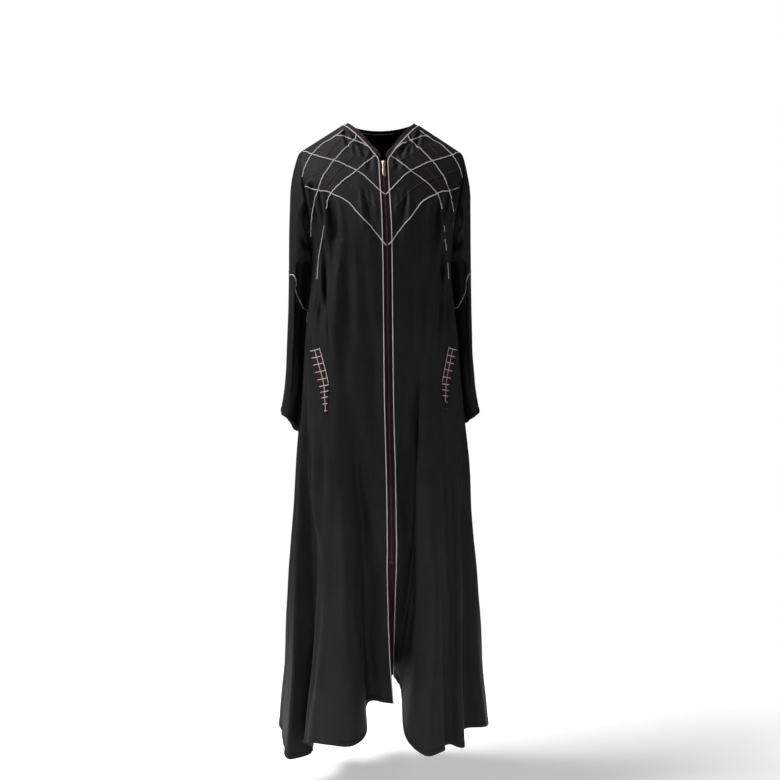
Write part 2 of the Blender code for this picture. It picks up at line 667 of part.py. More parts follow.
def build():
    for obj in list(bpy.data.objects):
        bpy.data.objects.remove(obj)
    group = bpy.data.collections.new("abaya")
    cutters = bpy.data.collections.new("helpers")
    bpy.context.scene.collection.children.link(group)
    bpy.context.scene.collection.children.link(cutters)

    fronts = {side: front_grid(side) for side in (1, -1)}
    back = back_grid()
    front_normals = {side: normals_of(fronts[side]) for side in fronts}
    back_normals = normals_of(back)
    for side in fronts:
        edge = 0 if side > 0 else -1
        share_normals(front_normals[side][TORSO_ROWS:, -1], back_normals[TORSO_ROWS:, edge])
        slope = math.atan2(SHOULDER_DROP, SHOULDER_HALF - NECK_HALF)
        up = np.array([side * math.sin(slope), 0, math.cos(slope)])
        front_normals[side][0] = up
        on_seam = side * back[0, :, 0] > NECK_HALF * 0.98
        back_normals[0, on_seam] = up

    sleeves, sleeve_normals = {}, {}
    for side in fronts:
        edge = 0 if side > 0 else -1
        sleeves[side] = sleeve_grid(side, fronts[side], back[:, edge])
        sleeve_normals[side] = normals_of(sleeves[side], closed=True)
        ring, seam = sleeve_normals[side][0], sleeves[side][0]
        beside = 1 if side > 0 else -2
        back_inside = back[TORSO_ROWS - 1 : 0 : -1, beside]
        inside = np.concatenate([fronts[side][: TORSO_ROWS + 1, -2], back_inside])
        inside[0] = (fronts[side][0, -2] + back[0, beside]) / 2
        inside[TORSO_ROWS] = seam[TORSO_ROWS] + [0, 0, -0.02]
        along = np.roll(seam, -1, 0) - np.roll(seam, 1, 0)
        rims = mitre(seam, inside, sleeves[side][1], along)
        toward = ring.copy()
        toward[: TORSO_ROWS + 1] += front_normals[side][: TORSO_ROWS + 1, -1]
        toward[TORSO_ROWS + 1 :] += back_normals[TORSO_ROWS - 1 : 0 : -1, edge]
        fall = np.linspace(1, -1.5, TORSO_ROWS + 1)
        toward[:, 2] += np.r_[fall, fall[-2:0:-1]]
        rims *= np.sign((rims * toward).sum(axis=1, keepdims=True))
        rims[TORSO_ROWS] = (0, 0, -1)
        ring[:] = rims
        front_normals[side][: TORSO_ROWS + 1, -1] = rims[: TORSO_ROWS + 1]
        back_normals[1:TORSO_ROWS, edge] = rims[: TORSO_ROWS : -1]
        back_normals[0, edge] = rims[0]
        back_normals[TORSO_ROWS, edge] = rims[TORSO_ROWS]

    trims(group, cutters, fronts, front_normals, back, back_normals)
    sleeve_trims(group, sleeves, sleeve_normals)

    for side in fronts:
        word = "left" if side > 0 else "right"
        draw_in(fronts[side], row=0)
        draw_in(fronts[side], col=-1)
        wall("front_" + word, fronts[side], front_normals[side], group, BLACK)
        draw_in(sleeves[side], row=0, by=2 * SEAM)
        wall("sleeve_" + word, sleeves[side], sleeve_normals[side], group, BLACK, closed=True)
    draw_in(back, row=0)
    draw_in(back, col=0)
    draw_in(back, col=-1)
    wall("back", back, back_normals, group, BLACK)


def sleeve_grid(side, front, back_edge):
    """Rings from the armhole to the cuff: down the front of the armhole, then up its back."""
    loop = np.concatenate([front[: TORSO_ROWS + 1, -1], back_edge[TORSO_ROWS - 1 : 0 : -1]])
    loop = loop * [side, 1, 1]
    steps = np.linalg.norm(np.diff(loop, axis=0, append=loop[:1]), axis=1)
    half = TORSO_ROWS
    angle = np.empty(len(loop))
    angle[: half + 1] = np.r_[0, np.cumsum(steps[:half])] / steps[:half].sum() * math.pi
    angle[half:] = math.pi + np.r_[0, np.cumsum(steps[half:-1])] / steps[half:].sum() * math.pi
    rows = []
    for i in range(SLEEVE_ROWS + 1):
        share = i / SLEEVE_ROWS
        oz, iz, ox, ix, fy, by, tuck, fall = (column(SLEEVE, k, share) for k in range(1, 9))
        if side > 0:
            ix += LEFT_CLEAR * max(0.0, share - CLEAR_FROM) / (1 - CLEAR_FROM)
        out = (1 + np.cos(angle)) / 2
        x = ix + (ox - ix) * out
        y = (fy + by) / 2 + tuck * (1 - out) - (by - fy) / 2 * np.sin(angle)
        z = iz + (oz - iz) * out - fall * (1 - out) * (1 - np.sin(angle)) / 2
        ring = np.stack([x, y, z], -1)
        held = max(0.0, 1 - share / 0.2) ** 1.5
        rows.append(loop * held + ring * (1 - held))
    return np.array(rows) * [side, 1, 1]


def trims(group, cutters, fronts, front_normals, back, back_normals):
    """What is sewn on the body: zip, neckband, cords, lattice, pocket welts."""
    zip_parts(group)
    slider(group, cutters)
    pull_tab(group)
    neckband(group, fronts, front_normals, back, back_normals)
    back_neck_cord(group, back, back_normals)
    for side in fronts:
        word = "left" if side > 0 else "right"
        panel = fronts[side] + front_normals[side] * CLOTH / 2
        normals = front_normals[side]
        path, ups = edge_path(panel, normals, CORD_IN, first_row=0.3)
        edge = strip("edge_cord_" + word, path, ups, CORD_WIDTH, CORD_HEIGHT, group, WHITE, EDGE_LIFT)
        white = lattice("white_" + word, side, panel, normals, WHITE_CORDS, WHITE, OVER, group)
        join("white_cords_" + word, [edge, *white], group, cutters)
        maroon = lattice("maroon_" + word, side, panel, normals, MAROON_CORDS, MAROON, UNDER, group)
        join("maroon_cords_" + word, maroon, group, cutters)
        pocket(word, side, panel, normals, group, cutters)


def back_neck_cord(group, back, normals):
    """The cord that runs on round the back of the neck."""
    behind = np.abs(back[0, :, 0]) < NECK_HALF * 0.97
    top, below = back[0, behind], back[1, behind]
    gap = np.linalg.norm(below - top, axis=1, keepdims=True)
    ups = normals[1, behind]
    path = top + (below - top) / gap * 2 * CORD_IN + ups * CLOTH / 2
    strip("neck_cord_back", path, ups, CORD_WIDTH, CORD_HEIGHT, group, WHITE, RING_LIFT)


def lattice(name, side, panel, normals, families, colour, layer, group):
    """Crossing cords of one colour on a front. The second family is a little higher."""
    lift, height = layer
    cords = []
    for family, ways in enumerate(families):
        for k, corners in enumerate(ways):
            way = [(x * side, z) for x, z in corners]
            points, ups = path_on(panel, normals, way, allowed=lift / 3)
            if way[-1][0] * side < ZIP_HALF + 0.001:
                onward = points[-1] - points[-2]
                points[-1] += onward / np.linalg.norm(onward) * CORD_ONWARD
            extra, word = CROSSING * family, f"{name}_{family}_{k}"
            cords.append(strip(word, points, ups, CORD_WIDTH, height + extra, group, colour, lift + extra))
    return cords


def zip_line(height):
    """Depth of the centre front at a height."""
    return -column(BODY, 2, np.asarray(height))


def zip_parts(group):
    """Two tapes and the chain between them, from the foot of the V down."""
    curved_to = -0.36
    upper = np.linspace(-NECK_DEPTH - 0.001, curved_to, 9)
    heights = np.r_[upper, np.linspace(curved_to, ZIP_END, 6)[1:]]
    depth = zip_line(heights)
    middle = np.stack([0 * heights, depth, heights], 1)
    slope = np.gradient(depth, heights)
    normals = np.stack([0 * slope, -1 + 0 * slope, slope], 1)
    normals /= np.linalg.norm(normals, axis=1, keepdims=True)
    for side, word in ((1, "left"), (-1, "right")):
        path, name = middle + [side * TAPE_MIDDLE, 0, 0], "zip_tape_" + word
        strip(name, path, normals, TAPE_WIDE, TAPE_THICK, group, MAROON, lift=-TAPE_THICK / 2, top=1)
    back_of_chain = CHAIN_FRONT - CHAIN_THICK
    strip("zip_chain", middle, normals, CHAIN_WIDE, CHAIN_THICK, group, MAROON, lift=back_of_chain, top=0.8)


def zip_frame(outward, down=0.0):
    """The slider's own axes: across the zip, up along it and out from it. The origin is that far out
    from the chain, and down along it."""
    rise = float(zip_line(SLIDER_Z + SLIDER_LONG / 2) - zip_line(SLIDER_Z - SLIDER_LONG / 2))
    up = Vector((0, rise, SLIDER_LONG)).normalized()
    across = Vector((1, 0, 0))
    out = across.cross(up)
    middle = Vector((0, float(zip_line(SLIDER_Z)), SLIDER_Z)) + out * (CHAIN_FRONT + outward) - up * down
    return across, up, out, middle


def placing(x, y, z, origin):
    """A matrix that turns an object's own axes to three directions and moves its origin."""
    turned = Matrix((x, y, z)).transposed().to_4x4()
    return Matrix.Translation(origin) @ turned


def plate(name, outlines, thickness, place, group):
    """A flat outline, with any hole in it, as thick as stated; welded, so that a Boolean can join it."""
    curve = bpy.data.curves.new(name, "CURVE")
    curve.dimensions = "2D"
    curve.fill_mode = "BOTH"
    curve.extrude = thickness / 2
    for outline in outlines:
        way = curve.splines.new("POLY")
        way.points.add(len(outline) - 1)
        way.use_cyclic_u = True
        for point, (x, y) in zip(way.points, outline):
            point.co = (x, y, 0, 1)
    flat = bpy.data.objects.new(name, curve)
    group.objects.link(flat)
    bpy.context.view_layer.update()
    mesh = bpy.data.meshes.new_from_object(flat.evaluated_get(bpy.context.evaluated_depsgraph_get()))
    bpy.data.objects.remove(flat)
    bm = bmesh.new()
    bm.from_mesh(mesh)
    bmesh.ops.remove_doubles(bm, verts=bm.verts, dist=0.00001)
    bm.to_mesh(mesh)
    bm.free()
    obj = bpy.data.objects.new(name, mesh)
    obj.matrix_world = place
    group.objects.link(obj)
    finish(obj, METAL, 0.25, 1.0)
    return obj


def slider(group, cutters):
    """A plate with an arch on it; the tab's bar passes through the arch."""
    wide, long = SLIDER_WIDE / 2, SLIDER_LONG / 2
    outline = [(-wide, 0.75 * long), (-0.6 * wide, long), (0.6 * wide, long), (wide, 0.75 * long)]
    outline += [(wide, -0.2 * long), (0.62 * wide, -long), (-0.62 * wide, -long), (-wide, -0.2 * long)]
    across, up, out, middle = zip_frame(SLIDER_GAP + SLIDER_THICK / 2)
    base = plate("slider", [outline], SLIDER_THICK, placing(across, up, out, middle), group)

    across, up, out, middle = zip_frame(SLIDER_GAP + SLIDER_THICK)
    long, top, sunk = ARCH_LONG / 2, ARCH_HIGH, -0.0004
    inner, under = long - ARCH_BAR, top - ARCH_BAR
    outline = [(-long, sunk), (-long, 0.65 * top), (-0.75 * long, top), (0.75 * long, top)]
    outline += [(long, 0.65 * top), (long, sunk)]
    outline += [(inner, sunk), (inner, under), (-inner, under), (-inner, sunk)]
    arch = plate("slider_arch", [outline], ARCH_WIDE, placing(up, out, across, middle), group)
    join("slider", [base, arch], group, cutters)


def pull_tab(group):
    """A flat tab hung by the bar above its slot; its origin is on the hinge."""
    bar, shoulder = TAB_BAR / 2, -TAB_SLOT - 0.002
    half, foot = TAB_WIDE / 2, TAB_LONG - TAB_WIDE / 2
    narrow, waist = 0.76 * half, (0.9 * half, -0.45 * foot)
    outline = [(-narrow, bar), (narrow, bar), (narrow, shoulder), waist]
    for angle in np.linspace(0, math.pi, 9):
        outline.append((half * math.cos(angle), -foot - half * math.sin(angle)))
    outline += [(-waist[0], waist[1]), (-narrow, shoulder)]
    side = ARCH_WIDE / 2 + TAB_PLAY
    slot = [(-side, -bar), (side, -bar), (side, -TAB_SLOT), (-side, -TAB_SLOT)]
    window = (ARCH_HIGH - ARCH_BAR) / 2
    across, up, out, hinge = zip_frame(SLIDER_GAP + SLIDER_THICK + window, TAB_HANGS)
    plate("pull_tab", [outline, slot], TAB_THICK, placing(across, up, out, hinge), group)


def neckband(group, fronts, front_normals, back, back_normals):
    """The maroon binding: a strip that runs on from the neckline's edge into the neck's opening."""
    right = fronts[-1][V_ROW::-1, 0], front_normals[-1][V_ROW::-1, 0]
    left = fronts[1][: V_ROW + 1, 0], front_normals[1][: V_ROW + 1, 0]
    behind = np.abs(back[0, :, 0]) < NECK_HALF * 0.97
    path = np.concatenate([right[0], back[0, behind][::-1], left[0]])
    normals = np.concatenate([right[1], back_normals[0, behind][::-1], left[1]])
    tangent = np.gradient(path, axis=0)
    into = np.cross(tangent, normals)
    into /= np.linalg.norm(into, axis=1, keepdims=True)
    middle_of_neck = np.array([0, 0.02, 0.03])
    into *= np.sign((into * (middle_of_neck - path)).sum(axis=1))[:, None]
    normals = np.cross(into, tangent)
    normals /= np.linalg.norm(normals, axis=1, keepdims=True)
    near = path + into * BINDING_GAP
    far = near + into * BINDING_WIDE
    for end in (0, -1):
        far[end] = near[end] + [0, 0, BINDING_END]
    grid = np.stack([near, far], 1)
    wall("neckband", grid, np.stack([normals, normals], 1), group, MAROON, BINDING_THICK)


def pocket(word, side, panel, normals, group, cutters):
    """A welt over the pocket's mouth, with a grid of white cords on it."""
    knots = np.linspace(0, 1, len(POCKET))
    down = np.linspace(0, 1, WELT_ROWS)
    outer, inner = (
        np.stack([np.interp(down, knots, [row[k] for row in POCKET]) for k in pair], 1)
        for pair in ((0, 1), (2, 3))
    )
    grid = np.zeros((WELT_ROWS, WELT_COLUMNS, 3))
    up = np.zeros_like(grid)
    for i in range(WELT_ROWS):
        for j in range(WELT_COLUMNS):
            x, z = inner[i] + (outer[i] - inner[i]) * j / (WELT_COLUMNS - 1)
            grid[i, j], up[i, j] = place_on(panel, normals, x * side, z)
    grid += up * (WELT_GAP + WELT_THICK / 2)
    wall("pocket_welt_" + word, grid, up, group, MAROON, WELT_THICK)

    top = grid + up * WELT_THICK / 2
    edge, half_way = inner + [POCKET_CORD * 0.75, 0], WELT_ROWS // 2
    middle = (outer + inner) / 2
    ways = [(edge[0] * 0.99 + edge[half_way] * 0.01, edge[half_way])]
    ways.append((middle[0] * 0.99 + middle[-1] * 0.01, middle[-1]))
    for at in np.linspace(0.02, 0.93, POCKET_RUNGS):
        a, b = (np.array([np.interp(at, down, line[:, n]) for n in (0, 1)]) for line in (outer, inner))
        ways.append((a + (b - a) * 0.04, b + (a - b) * 0.02))
    cords = []
    for k, way in enumerate(ways):
        points, ups = path_on(top, up, [(x * side, z) for x, z in way], samples=2)
        lift, name = POCKET_LIFT + (CROSSING if k >= 2 else 0), f"welt_{word}_{k}"
        cords.append(strip(name, points, ups, POCKET_CORD, POCKET_CORD_HIGH, group, WHITE, lift))
    join("pocket_cords_" + word, cords, group, cutters)


def sleeve_trims(group, sleeves, normals):
    """A white cord round each sleeve at the elbow."""
    for side in sleeves:
        word = "left" if side > 0 else "right"
        ups = normals[side][SLEEVE_CORD_ROW]
        path, name = sleeves[side][SLEEVE_CORD_ROW] + ups * CLOTH / 2, "sleeve_cord_" + word
        strip(name, path, ups, CORD_WIDTH, CORD_HEIGHT, group, WHITE, RING_LIFT, loop=True)


build()
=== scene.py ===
import math

import bmesh
import bpy
import numpy as np
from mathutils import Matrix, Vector
from mathutils.bvhtree import BVHTree


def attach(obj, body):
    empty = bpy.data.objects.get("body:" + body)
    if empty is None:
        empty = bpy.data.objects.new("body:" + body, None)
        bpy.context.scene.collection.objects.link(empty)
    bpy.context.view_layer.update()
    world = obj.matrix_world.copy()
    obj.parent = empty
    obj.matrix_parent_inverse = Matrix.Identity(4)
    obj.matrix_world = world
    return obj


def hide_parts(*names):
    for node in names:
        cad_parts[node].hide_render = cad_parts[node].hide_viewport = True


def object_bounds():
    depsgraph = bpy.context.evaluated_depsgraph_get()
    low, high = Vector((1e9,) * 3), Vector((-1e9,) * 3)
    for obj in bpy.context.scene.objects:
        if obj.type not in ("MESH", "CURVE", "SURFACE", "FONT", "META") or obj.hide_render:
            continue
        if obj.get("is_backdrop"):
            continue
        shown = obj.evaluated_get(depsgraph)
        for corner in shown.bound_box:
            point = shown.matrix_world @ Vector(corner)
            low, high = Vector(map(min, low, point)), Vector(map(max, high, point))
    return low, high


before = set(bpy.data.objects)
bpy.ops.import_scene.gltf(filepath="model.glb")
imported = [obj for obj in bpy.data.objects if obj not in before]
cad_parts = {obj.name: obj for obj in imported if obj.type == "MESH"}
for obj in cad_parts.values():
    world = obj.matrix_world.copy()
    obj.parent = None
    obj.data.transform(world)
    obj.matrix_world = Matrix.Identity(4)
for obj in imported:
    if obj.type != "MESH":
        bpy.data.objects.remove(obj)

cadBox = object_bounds()
rng = np.random.default_rng(5)

# Metres. The front faces -Y and the garment's own left is at +X. The origin is between the shoulder seams.

# The cut, as the frame has it.
cut = {
    "neckHalf": 0.088, "shoulderHalf": 0.188, "shoulderDrop": 0.064,
    "neckDepth": 0.082, "neckDepthBack": 0.016, "underarm": -0.261,
    "zipHalf": 0.0088, "zipEnd": -0.996, "roundness": 2.4, "rowSpread": 1.2,
    "wall": 0.0013,
    # powers: rows down a seam, rows down the neck's edge and its fall, folds towards the hem
    "seamPower": 1.5, "neckPower": 1.3, "neckFall": 1.27, "growPower": 1.15, "squeeze": 0.1,
    # height, halfWidth, depthInFront, depthBehind
    "body": [
        (0.01, 0.062, 0.016, 0.04), (0.0, 0.088, 0.026, 0.052), (-0.03, 0.139, 0.046, 0.074),
        (-0.064, 0.188, 0.066, 0.092), (-0.082, 0.2, 0.077, 0.099), (-0.104, 0.205, 0.089, 0.104),
        (-0.146, 0.199, 0.107, 0.11), (-0.186, 0.188, 0.121, 0.112), (-0.226, 0.174, 0.131, 0.112),
        (-0.261, 0.166, 0.137, 0.11), (-0.316, 0.16, 0.141, 0.107), (-0.373, 0.164, 0.143, 0.106),
        (-0.431, 0.172, 0.144, 0.109), (-0.486, 0.179, 0.145, 0.114), (-0.573, 0.186, 0.147, 0.122),
        (-0.662, 0.193, 0.149, 0.129), (-0.786, 0.205, 0.152, 0.136), (-0.916, 0.214, 0.155, 0.146),
        (-1.0, 0.222, 0.157, 0.152), (-1.156, 0.234, 0.162, 0.166), (-1.286, 0.241, 0.167, 0.18),
        (-1.376, 0.25, 0.17, 0.19), (-1.486, 0.26, 0.174, 0.202),
    ],
    # turn, x, y, hemHeight, foldStart
    "hem": [
        (0.02, 0.029, -0.004, -1.318, -1.008), (0.13, 0.04, -0.044, -1.338, -0.93),
        (0.26, 0.044, -0.196, -1.396, -0.48), (0.36, 0.084, -0.236, -1.424, -0.33),
        (0.47, 0.122, -0.214, -1.424, -0.36), (0.56, 0.146, -0.162, -1.43, -0.42),
        (0.66, 0.18, -0.166, -1.436, -0.4), (0.75, 0.188, -0.088, -1.428, -0.4),
        (0.87, 0.242, -0.08, -1.424, -0.4), (1.0, 0.263, 0.0, -1.444, -0.3),
        (1.16, 0.262, 0.092, -1.45, -0.5), (1.3, 0.2, 0.098, -1.44, -0.5),
        (1.46, 0.172, 0.19, -1.43, -0.4), (1.62, 0.112, 0.15, -1.412, -0.45),
        (1.8, 0.06, 0.226, -1.4, -0.35), (2.02, -0.006, 0.17, -1.388, -0.4),
        (2.2, -0.062, 0.234, -1.4, -0.35), (2.38, -0.12, 0.152, -1.404, -0.45),
        (2.54, -0.174, 0.192, -1.42, -0.4), (2.7, -0.2, 0.096, -1.436, -0.5),
        (2.86, -0.246, 0.08, -1.45, -0.45), (3.0, -0.241, 0.0, -1.462, -0.3),
        (3.14, -0.228, -0.092, -1.482, -0.42), (3.26, -0.19, -0.066, -1.476, -0.42),
        (3.38, -0.193, -0.16, -1.414, -0.44), (3.5, -0.142, -0.226, -1.394, -0.4),
        (3.64, -0.082, -0.24, -1.392, -0.5), (3.74, -0.052, -0.192, -1.382, -0.66),
        (3.84, -0.046, -0.1, -1.35, -0.86), (3.98, 0.021, -0.098, -1.351, -1.008),
    ],
    # turn, halfWidth, out, top, bottom
    "folds": [
        (3.42, 0.07, -0.01, -0.2, -0.47), (3.58, 0.08, 0.007, -0.18, -0.56),
        (3.28, 0.06, 0.006, -0.3, -0.76), (0.36, 0.08, 0.006, -0.24, -0.7),
        (0.58, 0.07, -0.009, -0.2, -0.47), (0.74, 0.09, 0.004, -0.3, -0.74),
        (1.4, 0.09, 0.006, -0.24, -0.9), (1.74, 0.09, -0.007, -0.24, -0.86),
        (2.06, 0.1, 0.006, -0.24, -0.9), (2.4, 0.09, -0.007, -0.26, -0.88),
        (2.66, 0.08, 0.006, -0.24, -0.86),
    ],
    # share of the armhole, height, frontX, backX
    "armhole": [
        (0.0, -0.064, 0.188, 0.188), (0.25, -0.102, 0.187, 0.188), (0.5, -0.152, 0.1785, 0.182),
        (0.75, -0.212, 0.169, 0.172), (0.9, -0.247, 0.166, 0.167), (1.0, -0.261, 0.166, 0.166),
    ],
    # share of the sleeve, outerZ, innerZ, outerX, innerX, frontY, backY, tuck, fall
    "sleeve": [
        (0.0, -0.072, -0.268, 0.193, 0.17, -0.07, 0.074, 0.0, 0.0),
        (0.12, -0.12, -0.286, 0.2045, 0.17, -0.068, 0.08, 0.0, 0.0),
        (0.3, -0.196, -0.33, 0.21, 0.16, -0.058, 0.088, 0.028, 0.0),
        (0.48, -0.29, -0.392, 0.2125, 0.1652, -0.047, 0.095, 0.034, 0.0),
        (0.66, -0.4, -0.474, 0.215, 0.176, -0.042, 0.098, 0.034, 0.004),
        (0.83, -0.53, -0.578, 0.22, 0.184, -0.038, 0.099, 0.034, 0.016),
        (0.94, -0.62, -0.656, 0.2275, 0.1918, -0.036, 0.098, 0.034, 0.032),
        (1.0, -0.668, -0.698, 0.236, 0.1964, -0.036, 0.098, 0.034, 0.045),
    ],
    "leftClear": 0.0036, "clearFrom": 0.6,
}
# How the cloth hangs off the plain form: heights, then how far it leans to +X there
lean = {
    "zip": [
        (-1.5, 0.0), (-1.32, 0.0024), (-1.25, 0.0025), (-1.17, 0.005), (-1.08, 0.0083), (-0.99, 0.0115),
        (-0.9, 0.0115), (-0.78, 0.0095), (-0.62, 0.006), (-0.4, 0.0042), (-0.3, 0.0035), (-0.2, 0.002),
        (-0.14, 0.0), (0.02, 0.0),
    ],
    "rightValley": [
        (-1.5, 0.02), (-1.35, 0.022), (-1.2, 0.024), (-1.1, 0.024), (-1.0, 0.02), (-0.9, 0.013),
        (-0.7, 0.003), (-0.5, 0.0),
    ],
    "rightLobe": [
        (-1.5, -0.004), (-1.35, 0.002), (-1.24, 0.012), (-1.14, 0.021), (-1.0, 0.022), (-0.9, 0.013),
        (-0.7, 0.003), (-0.5, 0.0),
    ],
    "leftLobe": [
        (-1.5, -0.008), (-1.38, -0.002), (-1.27, 0.01), (-1.13, 0.01), (-1.0, 0.003), (-0.85, 0.0),
        (-0.7, 0.0), (-0.55, 0.0),
    ],
    # where the zip's lean is whole and where it has gone: across, and from front to back
    "besideZip": (0.03, 0.125), "behindZip": (-0.04, 0.04),
    # the others' middle turn, and how far on both sides of it they are whole and gone
    "turns": {
        "rightValley": (3.27, 0.04, 0.12), "rightLobe": (3.44, 0.06, 0.22), "leftLobe": (0.25, 0.09, 0.22),
    },
}
# Folds with a crisp edge: x and z down the edge, and the way in x in which the cloth falls back from it
lips = [
    {"panel": "frontLeft", "way": -1, "deep": 0.018, "wide": 0.044, "crisp": 0.006, "under": 0.006,
     "edge": [(0.0745, -0.52), (0.068, -0.688), (0.0585, -0.852), (0.0505, -0.992), (0.046, -1.132),
              (0.039, -1.28)]},
    {"panel": "frontRight", "way": -1, "deep": 0.009, "wide": 0.03, "crisp": 0.006, "under": 0.003,
     "edge": [(-0.136, -0.225), (-0.133, -0.312), (-0.1285, -0.393), (-0.125, -0.501), (-0.124, -0.59)]},
    {"panel": "frontLeft", "way": 1, "deep": 0.004, "wide": 0.026, "crisp": 0.008, "under": 0.0,
     "edge": [(0.13, -0.225), (0.129, -0.312), (0.1285, -0.393), (0.125, -0.501), (0.124, -0.59)]},
    {"panel": "frontRight", "way": 1, "deep": 0.008, "wide": 0.05, "crisp": 0.01, "under": 0.0,
     "edge": [(-0.079, -0.6), (-0.0785, -0.825), (-0.076, -0.946), (-0.07, -1.081), (-0.0585, -1.231),
              (-0.054, -1.37)]},
]
for panelName, out in (("frontRight", -1), ("frontLeft", 1)):
    lips.append({
        "panel": panelName, "way": out, "deep": 0.006, "wide": 0.02, "crisp": 0.008, "under": 0.0,
        "edge": [(out * 0.1225, -0.14), (out * 0.116, -0.205), (out * 0.11, -0.262), (out * 0.108, -0.35)],
    })
# rows and columns; the spans are the metres that a whole step of rows covers at the skirt's and sleeve's hem
grid = {
    "frontAcross": 132, "backAcross": 180, "torso": 76, "skirt": 128, "skirtSpan": 1.36,
    "sleeveRound": 128, "sleeveLong": 160, "sleeveSpan": 0.56,
}
# metres from a hem at which extra rows show its turned edge
edgeRows = np.array([0.0008, 0.0022, 0.0042, 0.0064, 0.0086, 0.0104, 0.0116, 0.0128, 0.0142, 0.0165])


# Helpers for curves and grids

def curveThrough(knots, values, at):  # cubic through the values, slopes from their neighbours
    knots, values = np.asarray(knots, float), np.asarray(values, float)
    if knots[0] > knots[-1]:
        knots, values = knots[::-1], values[::-1]
    slopes = np.gradient(values, knots)
    at = np.clip(at, knots[0], knots[-1])
    i = np.clip(np.searchsorted(knots, at) - 1, 0, len(knots) - 2)
    h = knots[i + 1] - knots[i]
    s = (at - knots[i]) / h
    rise = s * s * (3 - 2 * s)
    bend = slopes[i] * h * s * (1 - s) ** 2 - slopes[i + 1] * h * s * s * (1 - s)
    return values[i] * (1 - rise) + values[i + 1] * rise + bend


def smoothstep(value, low, high):
    t = np.clip((value - low) / (high - low), 0, 1)
    return t * t * (3 - 2 * t)


def hump(value, middle, width):  # exp(-((value - middle) / width)^2)
    return np.exp(-(((value - middle) / width) ** 2))


def leanAt(word, height):
    return curveThrough(*np.array(lean[word]).T, height)


def leaned(flat):  # the zip and the cloth beside it, as they hang
    beside = 1 - smoothstep(np.abs(flat[:, 0]), *lean["besideZip"])
    window = beside * (1 - smoothstep(flat[:, 1], *lean["behindZip"]))
    flat = np.array(flat, float)
    flat[:, 0] += window * leanAt("zip", flat[:, 2])
    return flat


def column(name, index, at):
    rows = np.array(cut[name])
    return curveThrough(rows[:, 0], rows[:, index], at)


def unit(v):
    return v / (np.linalg.norm(v, axis=-1, keepdims=True) + 1e-12)


def lengths(path):  # running length along a path
    return np.r_[0, np.cumsum(np.linalg.norm(np.diff(path, axis=0), axis=1))]


def evenly(path, step):  # the same path with a point every step
    s = lengths(path[:, :3])
    at = np.linspace(0, s[-1], max(3, int(s[-1] / step) + 1))
    return np.stack([np.interp(at, s, path[:, k]) for k in range(path.shape[1])], 1)


def smooth(values, rounds):  # each round averages a point with its neighbours, ends held
    values = np.array(values, float)
    for _ in range(rounds):
        values[1:-1] = values[1:-1] / 2 + (values[:-2] + values[2:]) / 4
    return values


def gridNormals(points, closed=False):  # cross product of the two ways along the grid
    across = (np.roll(points, -1, 1) - np.roll(points, 1, 1)) if closed else np.gradient(points, axis=1)
    n = unit(np.cross(np.gradient(points, axis=0), across))
    outward = points - points.mean(axis=1, keepdims=True) if closed else points * [1, 1, 0]
    return n * np.sign((n * outward).sum())


# The body: a squarish oval at each height, with the hem's folds growing downwards

def ovalAt(turn, height):
    angle = np.asarray(turn) * math.pi / 2
    s, c = np.sin(angle), np.cos(angle)
    r = (np.abs(s) ** cut["roundness"] + np.abs(c) ** cut["roundness"]) ** (-1 / cut["roundness"])
    depth = np.where(c > 0, column("body", 2, height), column("body", 3, height))
    return np.stack([column("body", 1, height) * s * r, -depth * c * r, height + 0 * r], -1)


def torsoDepth(x, height, which):
    half = column("body", 1, height)
    slope = (cut["shoulderHalf"] - cut["neckHalf"]) / cut["shoulderDrop"]
    half = np.where(height > -cut["shoulderDrop"], cut["neckHalf"] - height * slope, half)
    share = np.clip(np.abs(x) / half, 0, 1)
    share = np.where(share > 0.99995, 1, share)
    return column("body", which, height) * (1 - share ** cut["roundness"]) ** (1 / cut["roundness"])


def skirtAt(turn, down):
    hem, start = column("hem", 3, turn), column("hem", 4, turn)
    height = cut["underarm"] + (hem - cut["underarm"]) * down
    growth = np.clip((start - height) / (start - hem), 0, 1) ** cut["growPower"]
    away = np.where(turn < 1, turn, np.where(turn > 3, 4 - turn, 1))
    squeezed = away * (1 - cut["squeeze"] * (1 - growth) * (1 - away))
    place = np.where(turn < 1, squeezed, np.where(turn > 3, 4 - squeezed, turn))
    points, atHem = ovalAt(turn, height), ovalAt(place, hem)
    points[..., 0] += growth * (column("hem", 1, place) - atHem[..., 0])
    points[..., 1] += growth * (column("hem", 2, place) - atHem[..., 1])
    angle = turn * math.pi / 2
    for word, (middle, full, far) in lean["turns"].items():
        window = 1 - smoothstep(np.abs(turn - middle), full, far)
        points[..., 0] += window * leanAt(word, height)
    for middle, halfWidth, out, top, bottom in cut["folds"]:
        over = np.clip(np.abs(turn - middle) / halfWidth, 0, 1)
        along = np.clip((top - height) / (top - bottom), 0, 1)
        swell = out * (1 - over**2) ** 2 * np.sin(math.pi * along) ** 1.5
        points[..., 0] += swell * np.sin(angle)
        points[..., 1] -= swell * np.cos(angle)
    return points


def rowsDown():  # torso rows run 0 to 1, skirt rows 1 to 2
    torso = np.linspace(0, 1, grid["torso"] + 1) ** 0.9
    torso[np.abs(torso - 0.5).argmin()] = 0.5
    skirt = np.linspace(0, 1, grid["skirt"] + 1)[1:]
    return np.r_[torso, 1 + np.sort(np.r_[skirt, 1 - edgeRows / grid["skirtSpan"]])]


